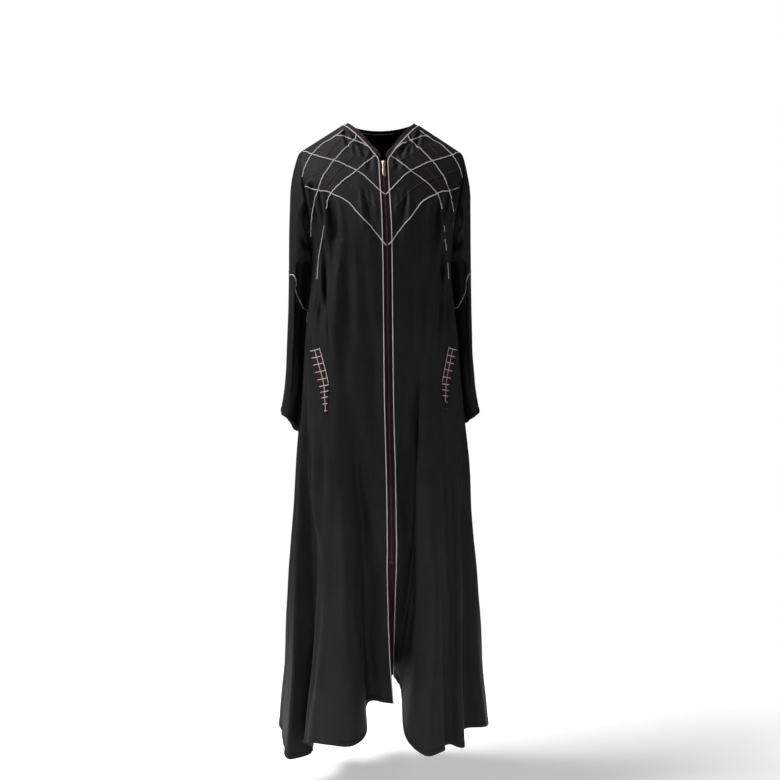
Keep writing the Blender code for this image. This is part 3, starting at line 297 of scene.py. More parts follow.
def frontGrid(side):
    # Rows from shoulder to hem, columns from the centre to the side: side 1 is the left.
    across = np.linspace(0, 1, grid["frontAcross"] + 1)[None]
    v = rowsDown()[:, None]
    down = np.minimum(v, 1)
    seam = down ** cut["seamPower"]
    along = np.minimum(2 * down, 1) ** cut["neckPower"]
    innerX = cut["neckHalf"] + (cut["zipHalf"] - cut["neckHalf"]) * along
    below = np.clip(2 * down - 1, 0, 1)
    innerZ = -cut["neckDepth"] * along ** cut["neckFall"] + (cut["underarm"] + cut["neckDepth"]) * below
    outerX, outerZ = column("armhole", 2, seam), column("armhole", 1, seam)
    start = 2 / math.pi * math.asin(cut["zipHalf"] / column("body", 1, cut["underarm"]))
    even = ovalAt(start + (1 - start) * across, cut["underarm"])[..., 0]
    even = (even - even[0, 0]) / (even[0, -1] - even[0, 0])
    share = across * (1 - down) + even * down
    x, z = innerX + (outerX - innerX) * share, innerZ + (outerZ - innerZ) * share
    torso = np.stack([x * side, -torsoDepth(x, z, 2), z], -1)
    lower = np.maximum(v - 1, 0) ** cut["rowSpread"]
    height = cut["underarm"] + (column("hem", 3, 0) - cut["underarm"]) * lower
    edge = 2 / math.pi * np.arcsin(cut["zipHalf"] / column("body", 1, height))
    turn = edge + (1 - edge) * across
    skirt = skirtAt(turn if side > 0 else 4 - turn, lower + 0 * turn)
    return np.where((v > 1)[..., None], skirt, torso)


def backGrid():
    # Rows from the shoulders and neck to the hem, columns from the left side to the right.
    across = np.linspace(1, -1, grid["backAcross"] + 1)[None]
    v = rowsDown()[:, None]
    down = np.minimum(v, 1)
    seam, neck = down ** cut["seamPower"], cut["neckHalf"] / cut["shoulderHalf"]
    inside = np.clip(1 - (np.abs(across) / neck) ** 2, 0, 1)
    beyond = np.clip((np.abs(across) - neck) / (1 - neck), 0, 1)
    topZ = -cut["neckDepthBack"] * inside - cut["shoulderDrop"] * beyond
    edgeX, edgeZ = column("armhole", 3, seam), column("armhole", 1, seam)
    lowX = ovalAt(2 - across, cut["underarm"])[..., 0]
    x = cut["shoulderHalf"] * across * (1 - down) + lowX * down
    z = topZ * (1 - seam) + cut["underarm"] * seam
    outer = np.abs(across) ** 3
    x = x + outer * np.sign(across) * (edgeX - np.abs(x[:, :1]))
    z = z + outer * (edgeZ - z[:, :1])
    torso = np.stack([x, torsoDepth(x, z, 3), z], -1)
    skirt = skirtAt(2 - across + 0 * v, np.maximum(v - 1, 0) ** cut["rowSpread"] + 0 * across)
    return np.where((v > 1)[..., None], skirt, torso)


def sleeveShares():
    return np.sort(np.r_[np.linspace(0, 1, grid["sleeveLong"] + 1), 1 - edgeRows / grid["sleeveSpan"]])


def sleeveGrid(side):
    # Rings from the armhole to the cuff, each a flattened loop: shoulder, front, underarm, back.
    seam = np.linspace(0, 1, 80) ** cut["seamPower"]
    z = column("armhole", 1, seam)
    front = np.stack([column("armhole", 2, seam), -torsoDepth(column("armhole", 2, seam), z, 2), z], 1)
    back = np.stack([column("armhole", 3, seam), torsoDepth(column("armhole", 3, seam), z, 3), z], 1)
    sFront, sBack = lengths(front), lengths(back)
    angle = np.linspace(0, 2 * math.pi, grid["sleeveRound"], endpoint=False)
    onFront = np.stack([np.interp(angle / math.pi, sFront / sFront[-1], front[:, k]) for k in range(3)], 1)
    onBack = np.stack([np.interp(2 - angle / math.pi, sBack / sBack[-1], back[:, k]) for k in range(3)], 1)
    loop = np.where((angle <= math.pi)[:, None], onFront, onBack)[None]
    share = sleeveShares()[:, None]
    outerZ, innerZ, outerX, innerX = (column("sleeve", k, share) for k in range(1, 5))
    frontY, backY, tuck, fall = (column("sleeve", k, share) for k in range(5, 9))
    if side > 0:
        low = np.clip((share - cut["clearFrom"]) / (1 - cut["clearFrom"]), 0, 1)
        innerX = innerX + cut["leftClear"] * low
    out = (1 + np.cos(angle)) / 2
    x = innerX + (outerX - innerX) * out
    y = (frontY + backY) / 2 + tuck * (1 - out) - (backY - frontY) / 2 * np.sin(angle)
    z = innerZ + (outerZ - innerZ) * out - fall * (1 - out) * (1 - np.sin(angle)) / 2
    held = (np.clip(1 - share / 0.2, 0, 1) ** 1.5)[..., None]
    return (loop * held + np.stack([x, y, z], -1) * (1 - held)) * [side, 1, 1]


# Creases: soft troughs with a low ridge on each side, laid on a panel

creases = {
    # seen from the front, on a right front (x is mirrored for the left): depth, halfWidth, open ends, points
    "front": [
        (0.0052, 0.005, "top", [(0.086, -0.018), (0.0785, -0.042), (0.0704, -0.066)]),
        (0.004, 0.0045, "top", [(0.066, -0.034), (0.062, -0.056), (0.057, -0.078)]),
        (0.0055, 0.0052, "top", [(0.0564, -0.045), (0.0447, -0.06), (0.0382, -0.084)]),
        (0.0035, 0.005, "top", [(0.026, -0.07), (0.031, -0.092), (0.029, -0.118)]),
        (0.0072, 0.0046, "both", [(0.0477, -0.145), (0.046, -0.185), (0.0444, -0.222)]),
        (0.0085, 0.0068, "both", [(0.0375, -0.15), (0.0359, -0.207), (0.0321, -0.262)]),
        (0.004, 0.008, "both", [(0.0253, -0.165), (0.0216, -0.239), (0.0214, -0.33)]),
        (0.0075, 0.007, "top", [(0.1634, -0.14), (0.1529, -0.208), (0.144, -0.29)]),
        (0.007, 0.0062, "both", [(0.156, -0.11), (0.1417, -0.207), (0.1352, -0.3)]),
        (0.005, 0.005, "both", [(0.148, -0.15), (0.137, -0.205), (0.1325, -0.262)]),
        (0.011, 0.01, "both", [(0.1235, -0.15), (0.1162, -0.205), (0.1105, -0.262), (0.1085, -0.345)]),
        (0.011, 0.0062, "both", [(0.1325, -0.258), (0.1325, -0.312), (0.129, -0.393), (0.1235, -0.49),
                                  (0.1215, -0.57)]),
        (0.007, 0.009, "both", [(0.15, -0.33), (0.1455, -0.436), (0.1424, -0.54)]),
        (0.006, 0.013, "both", [(0.094, -0.23), (0.088, -0.4), (0.086, -0.62)]),
        (0.005, 0.012, "both", [(0.052, -0.29), (0.05, -0.48), (0.047, -0.7)]),
        (0.0042, 0.011, "both", [(0.028, -0.4), (0.03, -0.56), (0.028, -0.78)]),
    ],
    # round the body by turn and height
    "round": [
        (0.0085, 0.015, "both", [(0.14, -0.64), (0.125, -0.79), (0.114, -0.99)]),
        (0.006, 0.011, "both", [(0.085, -0.7), (0.072, -0.8), (0.07, -0.93)]),
        (0.008, 0.015, "both", [(0.42, -0.56), (0.425, -0.8), (0.415, -1.05)]),
        (0.007, 0.013, "bottom", [(0.3, -0.9), (0.31, -1.15), (0.305, -1.42)]),
        (0.0075, 0.014, "both", [(0.66, -0.56), (0.61, -0.82), (0.6, -1.1)]),
        (0.0065, 0.011, "top", [(0.93, -0.262), (0.9, -0.34), (0.84, -0.45)]),
        (0.0075, 0.012, "both", [(0.84, -0.64), (0.8, -0.76), (0.79, -0.98)]),
        (0.009, 0.01, "both", [(3.211, -0.66), (3.355, -0.8), (3.453, -0.9), (3.545, -0.975),
                                  (3.593, -1.08)]),
        (0.007, 0.012, "bottom", [(3.596, -1.02), (3.592, -1.225), (3.586, -1.4)]),
        (0.0065, 0.011, "both", [(3.53, -0.66), (3.546, -0.736), (3.57, -0.868), (3.566, -0.96)]),
        (0.0025, 0.013, "both", [(3.762, -0.68), (3.776, -0.825), (3.794, -0.946), (3.817, -1.081)]),
        (0.005, 0.011, "bottom", [(3.817, -1.04), (3.846, -1.231), (3.869, -1.33)]),
        (0.0035, 0.016, "both", [(3.68, -0.76), (3.7, -0.98), (3.705, -1.2)]),
        (0.0055, 0.012, "bottom", [(3.4, -1.05), (3.395, -1.22), (3.385, -1.4)]),
        (0.008, 0.012, "top", [(1.09, -0.2), (1.18, -0.26), (1.27, -0.34)]),
        (0.0085, 0.015, "both", [(1.36, -0.3), (1.34, -0.52), (1.33, -0.82)]),
        (0.008, 0.016, "both", [(1.64, -0.33), (1.62, -0.62), (1.61, -1.0)]),
        (0.0065, 0.013, "both", [(1.9, -0.42), (1.915, -0.7), (1.9, -1.02)]),
        (0.0072, 0.015, "both", [(2.13, -0.3), (2.12, -0.56), (2.1, -0.9)]),
        (0.0078, 0.014, "both", [(2.33, -0.46), (2.34, -0.76), (2.36, -1.08)]),
        (0.0085, 0.014, "both", [(2.6, -0.32), (2.62, -0.56), (2.64, -0.86)]),
        (0.0078, 0.012, "top", [(2.9, -0.2), (2.82, -0.27), (2.73, -0.35)]),
        (0.0062, 0.012, "both", [(2.48, -0.12), (2.4, -0.2), (2.34, -0.33)]),
        (0.0062, 0.012, "both", [(1.52, -0.12), (1.6, -0.21), (1.66, -0.33)]),
    ],
    # on a sleeve by turn from the shoulder, forwards, and share of its length
    "sleeve": [
        (0.006, 0.008, "top", [(0.3, 0.01), (0.288, 0.1), (0.33, 0.2)]),
        (0.0065, 0.0085, "both", [(0.34, 0.06), (0.365, 0.15), (0.337, 0.28)]),
        (0.003, 0.008, "both", [(0.16, 0.06), (0.19, 0.18), (0.17, 0.3)]),
        (0.003, 0.011, "both", [(0.15, 0.62), (0.165, 0.76), (0.16, 0.9)]),
        (0.0045, 0.009, "bottom", [(0.345, 0.7), (0.36, 0.84), (0.35, 1.0)]),
        (0.003, 0.009, "bottom", [(0.215, 0.78), (0.225, 0.88), (0.23, 1.0)]),
        (0.0065, 0.009, "top", [(0.6, 0.02), (0.68, 0.12), (0.76, 0.23)]),
        (0.006, 0.0085, "both", [(0.68, 0.25), (0.73, 0.31), (0.79, 0.37)]),
        (0.008, 0.009, "both", [(0.7, 0.4), (0.76, 0.42), (0.85, 0.4)]),
        (0.006, 0.011, "both", [(0.76, 0.48), (0.73, 0.64), (0.77, 0.82)]),
        (0.0045, 0.009, "bottom", [(0.66, 0.72), (0.67, 0.86), (0.66, 1.0)]),
        (0.004, 0.01, "bottom", [(0.86, 0.7), (0.87, 0.85), (0.88, 1.0)]),
    ],
}
# Across a crease: points along its way, how far a closed end fades in, its width at the start and what it
# gains, and the ridge beside it, in widths: how high, how far out and how wide
creaseForm = {"points": 14, "fade": 0.4, "start": 0.8, "gain": 0.5, "ridge": (0.42, 1.9, 0.8)}
# The fold at the elbow, by turn: the share where its edge lies. Pairs are where something comes or goes.
elbow = {
    "edge": [
        (0.1, 0.56), (0.18, 0.47), (0.24, 0.415), (0.3, 0.355), (0.36, 0.3), (0.45, 0.245), (0.6, 0.225),
    ],
    "deep": 0.016, "under": 0.007, "swell": 0.0065, "steep": 0.022, "until": (0.6, 0.94),
    "inner": ((0.165, 0.235), (0.5, 0.6)), "behind": (0.232, 0.026),
    "swellAt": (-0.045, 0.04), "swellTurns": ((0.12, 0.24), (0.34, 0.44)),
}
# The cloth is drawn in under the arm: how far, at which turns and how wide, and over which shares
underArm = {
    "shift": 0.0075,
    "inner": (0.6, 0.06), "upper": ((0.06, 0.16), (0.42, 0.56)), "cuff": (0.78, 0.9), "cuffPart": 0.4,
    "seam": (0.54, 0.09), "seamPart": 0.8, "seamShares": ((0.0, 0.035), (0.08, 0.24)),
}
# Sewn edges, from the edge inwards: the turned hem ends and its stitches dip at these gaps
hemForm = {"proud": 0.0007, "ends": 0.0108, "soft": 0.0006, "stitch": (0.0122, 0.0012)}


def band(value, comes, goes):
    return smoothstep(value, *comes) * (1 - smoothstep(value, *goes))


def bodyTurn(points):  # turn of a point, from the oval of its height
    c = points[..., 1] < 0
    depth = np.where(c, column("body", 2, points[..., 2]), column("body", 3, points[..., 2]))
    half = column("body", 1, points[..., 2])
    return np.arctan2(points[..., 0] / half, -points[..., 1] / depth) * 2 / math.pi % 4


def layCrease(points, normals, way, depth, halfWidth, openEnd):
    # Moves the grid in by depth times exp(-(r/w)^2) and out by less on both sides, fading at closed ends.
    s = lengths(way)
    at = np.linspace(0, s[-1], creaseForm["points"])
    way = np.stack([curveThrough(s, way[:, k], at) for k in range(3)], 1)
    flat = points.reshape(-1, 3)
    best, at = np.full(len(flat), np.inf), np.zeros(len(flat))
    for k in range(len(way) - 1):
        step = way[k + 1] - way[k]
        t = np.clip((flat - way[k]) @ step / (step @ step), 0, 1)
        r = np.linalg.norm(flat - way[k] - t[:, None] * step, axis=1)
        at = np.where(r < best, (k + t) / (len(way) - 1), at)
        best = np.minimum(best, r)
    ends = {"both": (0, 1, 0), "top": (0.8, 1, 0), "bottom": (0, 1, 0.8)}[openEnd]
    fade = smoothstep(np.interp(at, (0, creaseForm["fade"], 1), ends), 0, 1)
    wide = halfWidth * (creaseForm["start"] + creaseForm["gain"] * at)
    high, out, across = creaseForm["ridge"]
    shape = -hump(best, 0, wide) + high * hump(best, out * wide, across * wide)
    return points + normals * (depth * fade * shape).reshape(points.shape[:2])[..., None]


def layCreases(out, points, normals, rows, keys, scale=1):
    # A crease's points are named by two keys, the first times scale. The nearest grid points carry its way.
    for depth, halfWidth, openEnd, way in rows:
        spots = []
        for first, second in way:
            gap = (keys[0] - first * scale) ** 2 + (keys[1] - second) ** 2
            spots.append(points.reshape(-1, 3)[gap.argmin()])
        out = layCrease(out, normals, np.array(spots), depth, halfWidth, openEnd)
    return out


def ripple(points, turn, size):  # slow uneven waves, longer down than across
    z, across = points[..., 2], turn * 0.26
    wave = np.sin(across * 96 + 2.1 * np.sin(z * 6.3) + 1.3) * (0.6 + 0.4 * np.sin(z * 11 + across * 7))
    finer = np.sin(across * 171 - 1.7 * np.sin(z * 9.1 + 2) + z * 5)
    wave = wave + 0.7 * finer * np.sin(z * 17 + across * 13 + 0.5)
    return wave * size


def seamRoll(gaps, reach=0.0032, depth=0.0011):  # cloth turns in along a sewn edge
    return -depth * hump(gaps, 0, reach)[..., None]


def layLip(points, lip):
    # On one side of the edge the cloth falls back and comes up again slowly, and runs in under the edge.
    edge, deep, crisp = np.array(lip["edge"]), lip["deep"], lip["crisp"]
    z = points[..., 2]
    off = (points[..., 0] - curveThrough(edge[:, 1], edge[:, 0], z)) * lip["way"]
    top, bottom = edge[0, 1], edge[-1, 1]
    end = 0.25 * (top - bottom)
    fade = smoothstep(top - z, 0, end) * smoothstep(z - bottom, 0, end) * (points[..., 1] < 0)
    fall = smoothstep(off, -crisp / 2, crisp) * np.clip(1 - off / lip["wide"], 0, 1)
    out = points.copy()
    out[..., 1] += fade * (deep * fall - 0.15 * deep * hump(off, -0.01, 0.009))
    out[..., 0] -= fade * lip["way"] * lip["under"] * hump(off, crisp, 1.4 * crisp)
    return out


turnSize = 0.2  # metres round the body in one turn, roughly, for finding a crease's points


def dressBody(name, points):
    # A body panel's own cloth: its creases and slow waves, with its sewn edges turned in a little.
    for lip in lips:
        if lip["panel"] == name:
            points = layLip(points, lip)
    normals = gridNormals(points)
    turn = bodyTurn(points)
    z = points[..., 2]
    calm = np.clip((-0.02 - z) / 0.1, 0, 1) * 0.5 + np.clip((-0.35 - z) / 0.5, 0, 1)
    out = points + normals * ripple(points, turn, 0.0009)[..., None] * calm[..., None]
    side = {"frontLeft": 1, "frontRight": -1}.get(name, 0)
    if side:
        out = layCreases(out, points, normals, creases["front"], (points[..., 0].ravel() * side, z.ravel()))
    low, high = {"frontLeft": (0, 1.02), "frontRight": (2.98, 4), "back": (0.98, 3.02)}[name]
    rows = [row for row in creases["round"] if all(low <= spot[0] <= high for spot in row[3])]
    out = layCreases(out, points, normals, rows, (turn.ravel() * turnSize, z.ravel()), turnSize)
    roll = seamRoll(np.linalg.norm(points - points[:, -1:], axis=2))
    roll = roll + seamRoll(np.linalg.norm(points - points[:1], axis=2))
    if name == "back":
        roll = roll + seamRoll(np.linalg.norm(points - points[:, :1], axis=2))
    away = np.exp(-(((turn - 2) * np.sign(turn - 2) - 0.92) / 0.14) ** 4)
    near = away * np.clip((z + 0.8) / 0.08, 0, 1) * np.clip((-0.25 - z) / 0.04, 0, 1)
    out = heldBack(points, out, normals, near)
    return out + normals * (roll + hemTurn(points)), normals


def heldBack(points, out, normals, near):  # keeps cloth from standing out where another lies close
    off = ((out - points) * normals).sum(axis=-1)
    return out - normals * (np.maximum(off, 0) * near)[..., None]


def hemTurn(points):  # the turned edge, a little proud, with the dip of its stitches above it
    gaps = np.linalg.norm(points - points[-1:], axis=2)
    proud = 1 / (1 + np.exp((gaps - hemForm["ends"]) / hemForm["soft"]))
    return hemForm["proud"] * (proud - hump(gaps, *hemForm["stitch"]))[..., None]


def elbowFold(side, points, normals, turn, share):
    # Cloth swells above the fold's edge. Below it the inner half falls back, in behind the outer half.
    edge = np.interp(turn, *np.array(elbow["edge"]).T)
    inner = band(turn, *elbow["inner"])
    below = smoothstep(share - edge, 0.0, elbow["steep"]) * (1 - smoothstep(share, *elbow["until"]))
    behind = hump(turn, *elbow["behind"])
    swell = hump(share - edge, *elbow["swellAt"]) * band(turn, *elbow["swellTurns"])
    out = points + normals * (elbow["swell"] * swell)[..., None]
    out[..., 1] += elbow["deep"] * below * inner
    out[..., 0] += side * elbow["under"] * below * behind
    return out


def dressSleeve(side, points):
    normals = gridNormals(points, closed=True)
    count = points.shape[1]
    turn = np.arange(count)[None] / count + 0 * points[..., 0]
    share = sleeveShares()[:, None] + 0 * points[..., 0]
    calm = np.clip(share / 0.15, 0, 1)[..., None]
    out = points + normals * ripple(points, turn * 1.6, 0.0011)[..., None] * calm
    out = layCreases(out, points, normals, creases["sleeve"], (turn.ravel(), share.ravel()))
    out = heldBack(points, out, normals, np.exp(-(((turn - 0.51) / 0.1) ** 4)))
    out = elbowFold(side, out, normals, turn, share)
    tucked = band(share, *underArm["upper"]) + underArm["cuffPart"] * smoothstep(share, *underArm["cuff"])
    tucked = tucked * hump(turn, *underArm["inner"])
    atSeam = hump(turn, *underArm["seam"]) * band(share, *underArm["seamShares"])
    out[..., 0] -= side * underArm["shift"] * (tucked + underArm["seamPart"] * atSeam)
    roll = seamRoll(np.linalg.norm(points - points[:1], axis=2)) + hemTurn(points)
    under = np.linalg.norm(points - points[:, count // 2 : count // 2 + 1], axis=2)
    return out + normals * (roll + seamRoll(under, 0.0022, 0.0009)), normals


# Meshes

def gridFaces(rows, cols, closed=False):
    i, j = np.meshgrid(np.arange(rows - 1), np.arange(cols if closed else cols - 1), indexing="ij")
    i, j = i.ravel(), j.ravel()
    k = (j + 1) % cols
    return np.stack([i * cols + j, i * cols + k, (i + 1) * cols + k, (i + 1) * cols + j], 1), i, j


def gridPart(points, closed=False, outward=None):
    # Quads over a grid, with metres across and along as its UV map.
    rows, cols = points.shape[:2]
    faces, i, j = gridFaces(rows, cols, closed)
    across = np.linalg.norm(np.diff(points, axis=1, append=points[:, :1]), axis=2)
    u = np.concatenate([np.zeros((rows, 1)), np.cumsum(across, axis=1)], 1)
    down = np.linalg.norm(np.diff(points, axis=0), axis=2).mean(axis=1)
    v = np.r_[0, np.cumsum(down)]
    corners = ((i, j), (i, j + 1), (i + 1, j + 1), (i + 1, j))
    uv = np.stack([[u[a, b], v[a]] for a, b in corners]).transpose(2, 0, 1)
    flat = points.reshape(-1, 3)
    if outward is not None:
        facing = np.cross(flat[faces[:, 1]] - flat[faces[:, 0]], flat[faces[:, 3]] - flat[faces[:, 0]])
        if (facing * outward.reshape(-1, 3)[faces[:, 0]]).sum() < 0:
            faces, uv = faces[:, ::-1], uv[:, ::-1]
    return flat, [(faces, uv)]


def joined(parts):  # several parts as one
    starts = np.cumsum([0] + [len(flat) for flat, _ in parts])
    groups = [(faces + start, uv) for (_, some), start in zip(parts, starts) for faces, uv in some]
    return np.concatenate([flat for flat, _ in parts]), groups


def addPiece(name, part, material, nodes=(), body="garment"):
    # A part is its points and groups of faces with as many corners each, and their UVs.
    flat, groups = leaned(part[0]), part[1]
    mesh = bpy.data.meshes.new(name)
    mesh.from_pydata(flat.tolist(), [], [face for faces, _ in groups for face in faces.tolist()])
    uv = np.concatenate([uv.reshape(-1) for _, uv in groups])
    mesh.uv_layers.new(name="UVMap").data.foreach_set("uv", uv.astype(np.float32))
    mesh.shade_smooth()
    mesh.materials.append(material)
    piece = bpy.data.objects.new(name, mesh)
    bpy.context.scene.collection.objects.link(piece)
    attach(piece, body)
    if nodes:
        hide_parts(*nodes)
    return piece


def sideways(path, ups, loop=False):
    tangent = np.roll(path, -1, 0) - np.roll(path, 1, 0) if loop else np.gradient(path, axis=0)
    return unit(np.cross(unit(ups), tangent))


def sweep(path, ups, rings, loop=False):
    # A closed outline carried along a path: rings[i, k] is (across, up) of point k at path point i.
    aside, up = sideways(path, ups, loop), unit(ups)
    points = path[:, None] + aside[:, None] * rings[..., :1] + up[:, None] * rings[..., 1:]
    rows, cols = points.shape[:2]
    if loop:
        points = np.concatenate([points, points[:1]])
    flat, [(faces, uv)] = gridPart(points, closed=True, outward=points - points.mean(axis=1, keepdims=True))
    if loop:
        faces = np.where(faces >= rows * cols, faces - rows * cols, faces)
        return flat[: rows * cols], [(faces, uv)]
    ring = np.arange(cols)
    turned = bool(faces[0][1] == faces[0][0] + 1)
    first, last = (ring, ring[::-1]) if turned else (ring[::-1], ring)
    caps = np.stack([first, last + (rows - 1) * cols])
    return flat, [(faces, uv), (caps, np.zeros((2, cols, 2)))]


def ropeRings(path, look, loop=False):
    # An oval with lobes that turn once every pitch, drawn in to a round at both ends.
    s = lengths(path)
    angle = np.arange(look["sides"]) / look["sides"] * 2 * math.pi
    if loop:
        whole = s[-1] + np.linalg.norm(path[0] - path[-1])
        pitch = whole / max(1, round(whole / look["pitch"]))
    else:
        pitch = look["pitch"]
    twist = 2 * math.pi * s[:, None] / pitch
    r = 1 + look["groove"] * np.cos(lobes * angle[None] - twist)
    if not loop:
        end = np.minimum(s, s[-1] - s) / (look["high"] / 2)
        r = r * np.sqrt(np.clip(1 - (1 - np.clip(end, 0.03, 1)) ** 2, 0, 1))[:, None]
    return np.stack([look["wide"] / 2 * np.cos(angle) * r, look["high"] / 2 * np.sin(angle) * r], -1)


def rope(path, ups, look, loop=False):
    path = path + unit(ups) * look["lift"]
    return sweep(path, ups, ropeRings(path, look, loop), loop)


def crossLift(path, ups, others, extra, reach):
    # Raises a cord by extra in a low hump where it passes over another, within reach of it.
    for other in others:
        near = other[(other[:, 2] > path[:, 2].min() - 0.01) & (other[:, 2] < path[:, 2].max() + 0.01)]
        if not len(near):
            continue
        gaps = ((path[:, None] - near[None]) ** 2).sum(axis=2).min(axis=1)
        path = path + ups * (extra * np.exp(-gaps / reach**2))[:, None]
    return path


class Panel:
    # A dressed sheet of cloth, which cords and pockets are laid on.

    def __init__(self, points, normals, closed=False):
        self.points, self.closed = points, closed
        self.normals = gridNormals(points, closed)
        self.normals *= np.sign((self.normals * normals).sum())
        self.outer = points + self.normals * cut["wall"] / 2
        flat, [(faces, _)] = gridPart(self.outer, closed)
        self.tree = BVHTree.FromPolygons(flat.tolist(), faces.tolist())

    def seen(self, x, z):
        # The places that a ray from the front meets at x and z, and which way the cloth faces there.
        spots, ups = [], []
        for a, b in zip(x, z):
            spot, up = self.tree.ray_cast(Vector((a, -1, b)), Vector((0, 1, 0)))[:2]
            if spot is None:
                spot, up = self.tree.find_nearest(Vector((a, -0.06, b)))[:2]
            spots.append(spot)
            ups.append(up if up.y < 0 or up.z > 0 else -up)
        return np.array(spots), np.array(ups)

    def route(self, corners, step, side):
        # A smooth way through (x, z) corners on the cloth, with a point every step and calm normals.
        corners = np.array(corners, float) * [side, 1]
        s = lengths(corners)
        at = np.linspace(0, s[-1], max(8, int(s[-1] / 0.002)))
        if len(corners) > 2:
            x, z = (curveThrough(s, corners[:, k], at) for k in (0, 1))
        else:
            x, z = (np.interp(at, s, corners[:, k]) for k in (0, 1))
        spots, ups = self.seen(x, z)
        both = evenly(np.concatenate([smooth(spots, 3), smooth(ups, 8)], 1), step)
        return both[:, :3], unit(both[:, 3:])


# Materials

def makeGroup(name, inputs, outputs):
    tree = bpy.data.node_groups.new(name, "ShaderNodeTree")
    for word, kind, value in inputs:
        tree.interface.new_socket(word, in_out="INPUT", socket_type=kind).default_value = value
    for word, kind in outputs:
        tree.interface.new_socket(word, in_out="OUTPUT", socket_type=kind)
    return tree, tree.nodes.new("NodeGroupInput"), tree.nodes.new("NodeGroupOutput")


def put(tree, kind, links=None, **values):
    # A node with its options and inputs set: links holds input name or number, and the socket to join.
    made = tree.nodes.new(kind)
    for word, value in values.items():
        if hasattr(made, word):
            setattr(made, word, value)
        else:
            made.inputs[word.replace("_", " ")].default_value = value
    for word, socket in (links or {}).items():
        if hasattr(socket, "links"):
            tree.links.new(socket, made.inputs[word])
        else:
            made.inputs[word].default_value = socket
    return made


def sums(tree, operation, first, second):
    return put(tree, "ShaderNodeMath", {0: first, 1: second}, operation=operation).outputs[0]


def weaveGroup():
    # Threads both ways on the UV map, in metres, with slubs along them and a crinkle over all.
    tree, start, end = makeGroup(
        "weave",
        [("Across", "NodeSocketFloat", 2200.0), ("Along", "NodeSocketFloat", 1900.0),
         ("Crinkle", "NodeSocketFloat", 0.5), ("Slub", "NodeSocketFloat", 0.5)],
        [("Height", "NodeSocketFloat"), ("Streak", "NodeSocketFloat"), ("Patch", "NodeSocketFloat")],
    )
    uv = put(tree, "ShaderNodeUVMap", uv_map="UVMap").outputs[0]
    parts = put(tree, "ShaderNodeSeparateXYZ", {0: uv}).outputs
    waves = []
    for place, word in ((parts[0], "Across"), (parts[1], "Along")):
        angle = sums(tree, "MULTIPLY", place, start.outputs[word])
        waves.append(put(tree, "ShaderNodeMath", {0: angle}, operation="SINE").outputs[0])
    threads = sums(tree, "MULTIPLY", *waves)
    long = put(tree, "ShaderNodeMapping", {0: uv, "Scale": (620, 24, 1)}).outputs[0]
    streak = put(tree, "ShaderNodeTexNoise", {"Vector": long, "Scale": 1.0, "Detail": 3.0}).outputs[0]
    crinkle = put(tree, "ShaderNodeTexNoise", {"Vector": uv, "Scale": 900.0, "Detail": 4.0}).outputs[0]
    height = sums(tree, "ADD", threads, sums(tree, "MULTIPLY", crinkle, start.outputs["Crinkle"]))
    height = sums(tree, "ADD", height, sums(tree, "MULTIPLY", streak, start.outputs["Slub"]))
    where = put(tree, "ShaderNodeTexCoord").outputs["Object"]
    patch = put(tree, "ShaderNodeTexNoise", {"Vector": where, "Scale": 9.0, "Detail": 5.0}).outputs[0]
    tree.links.new(height, end.inputs["Height"])
    tree.links.new(streak, end.inputs["Streak"])
    tree.links.new(patch, end.inputs["Patch"])
    return tree


def newMaterial(name):
    made = bpy.data.materials.new(name)
    made.use_nodes = True
    return made, made.node_tree, made.node_tree.nodes["Principled BSDF"]


def ramp(tree, value, stops):
    made = put(tree, "ShaderNodeValToRGB", {0: value})
    while len(made.color_ramp.elements) < len(stops):
        made.color_ramp.elements.new(0.5)
    for element, (at, colour) in zip(made.color_ramp.elements, stops):
        element.position, element.color = at, (*colour, 1)
    return made.outputs[0]


weave = weaveGroup()


def clothMaterial(look):
    # Cloth whose colour follows slow patches and the streaks of its threads.
    made, tree, shader = newMaterial(look["name"])
    threads = put(tree, "ShaderNodeGroup", node_tree=weave)
    for word in ("Across", "Along", "Crinkle", "Slub"):
        threads.inputs[word].default_value = look[word.lower()]
    mixed = sums(tree, "ADD", sums(tree, "MULTIPLY", threads.outputs["Streak"], 0.6),
                 sums(tree, "MULTIPLY", threads.outputs["Patch"], 0.4))
    colour = ramp(tree, mixed, [(0.36, look["dark"]), (0.64, look["light"])])
    tree.links.new(colour, shader.inputs["Base Color"])
    low, high = look["rough"]
    rough = put(tree, "ShaderNodeMapRange", {0: threads.outputs["Patch"], 3: low, 4: high})
    tree.links.new(rough.outputs[0], shader.inputs["Roughness"])
    height = threads.outputs["Height"]
    bump = put(tree, "ShaderNodeBump", {"Height": height}, Strength=look["bump"], Distance=look["relief"])
    tree.links.new(bump.outputs[0], shader.inputs["Normal"])
    settings = {
        "Sheen Weight": look["sheen"], "Sheen Roughness": 0.42, "Sheen Tint": (*look["sheenTint"], 1),
        "Specular IOR Level": look["specular"],
    }
    for word, value in settings.items():
        shader.inputs[word].default_value = value
    return made


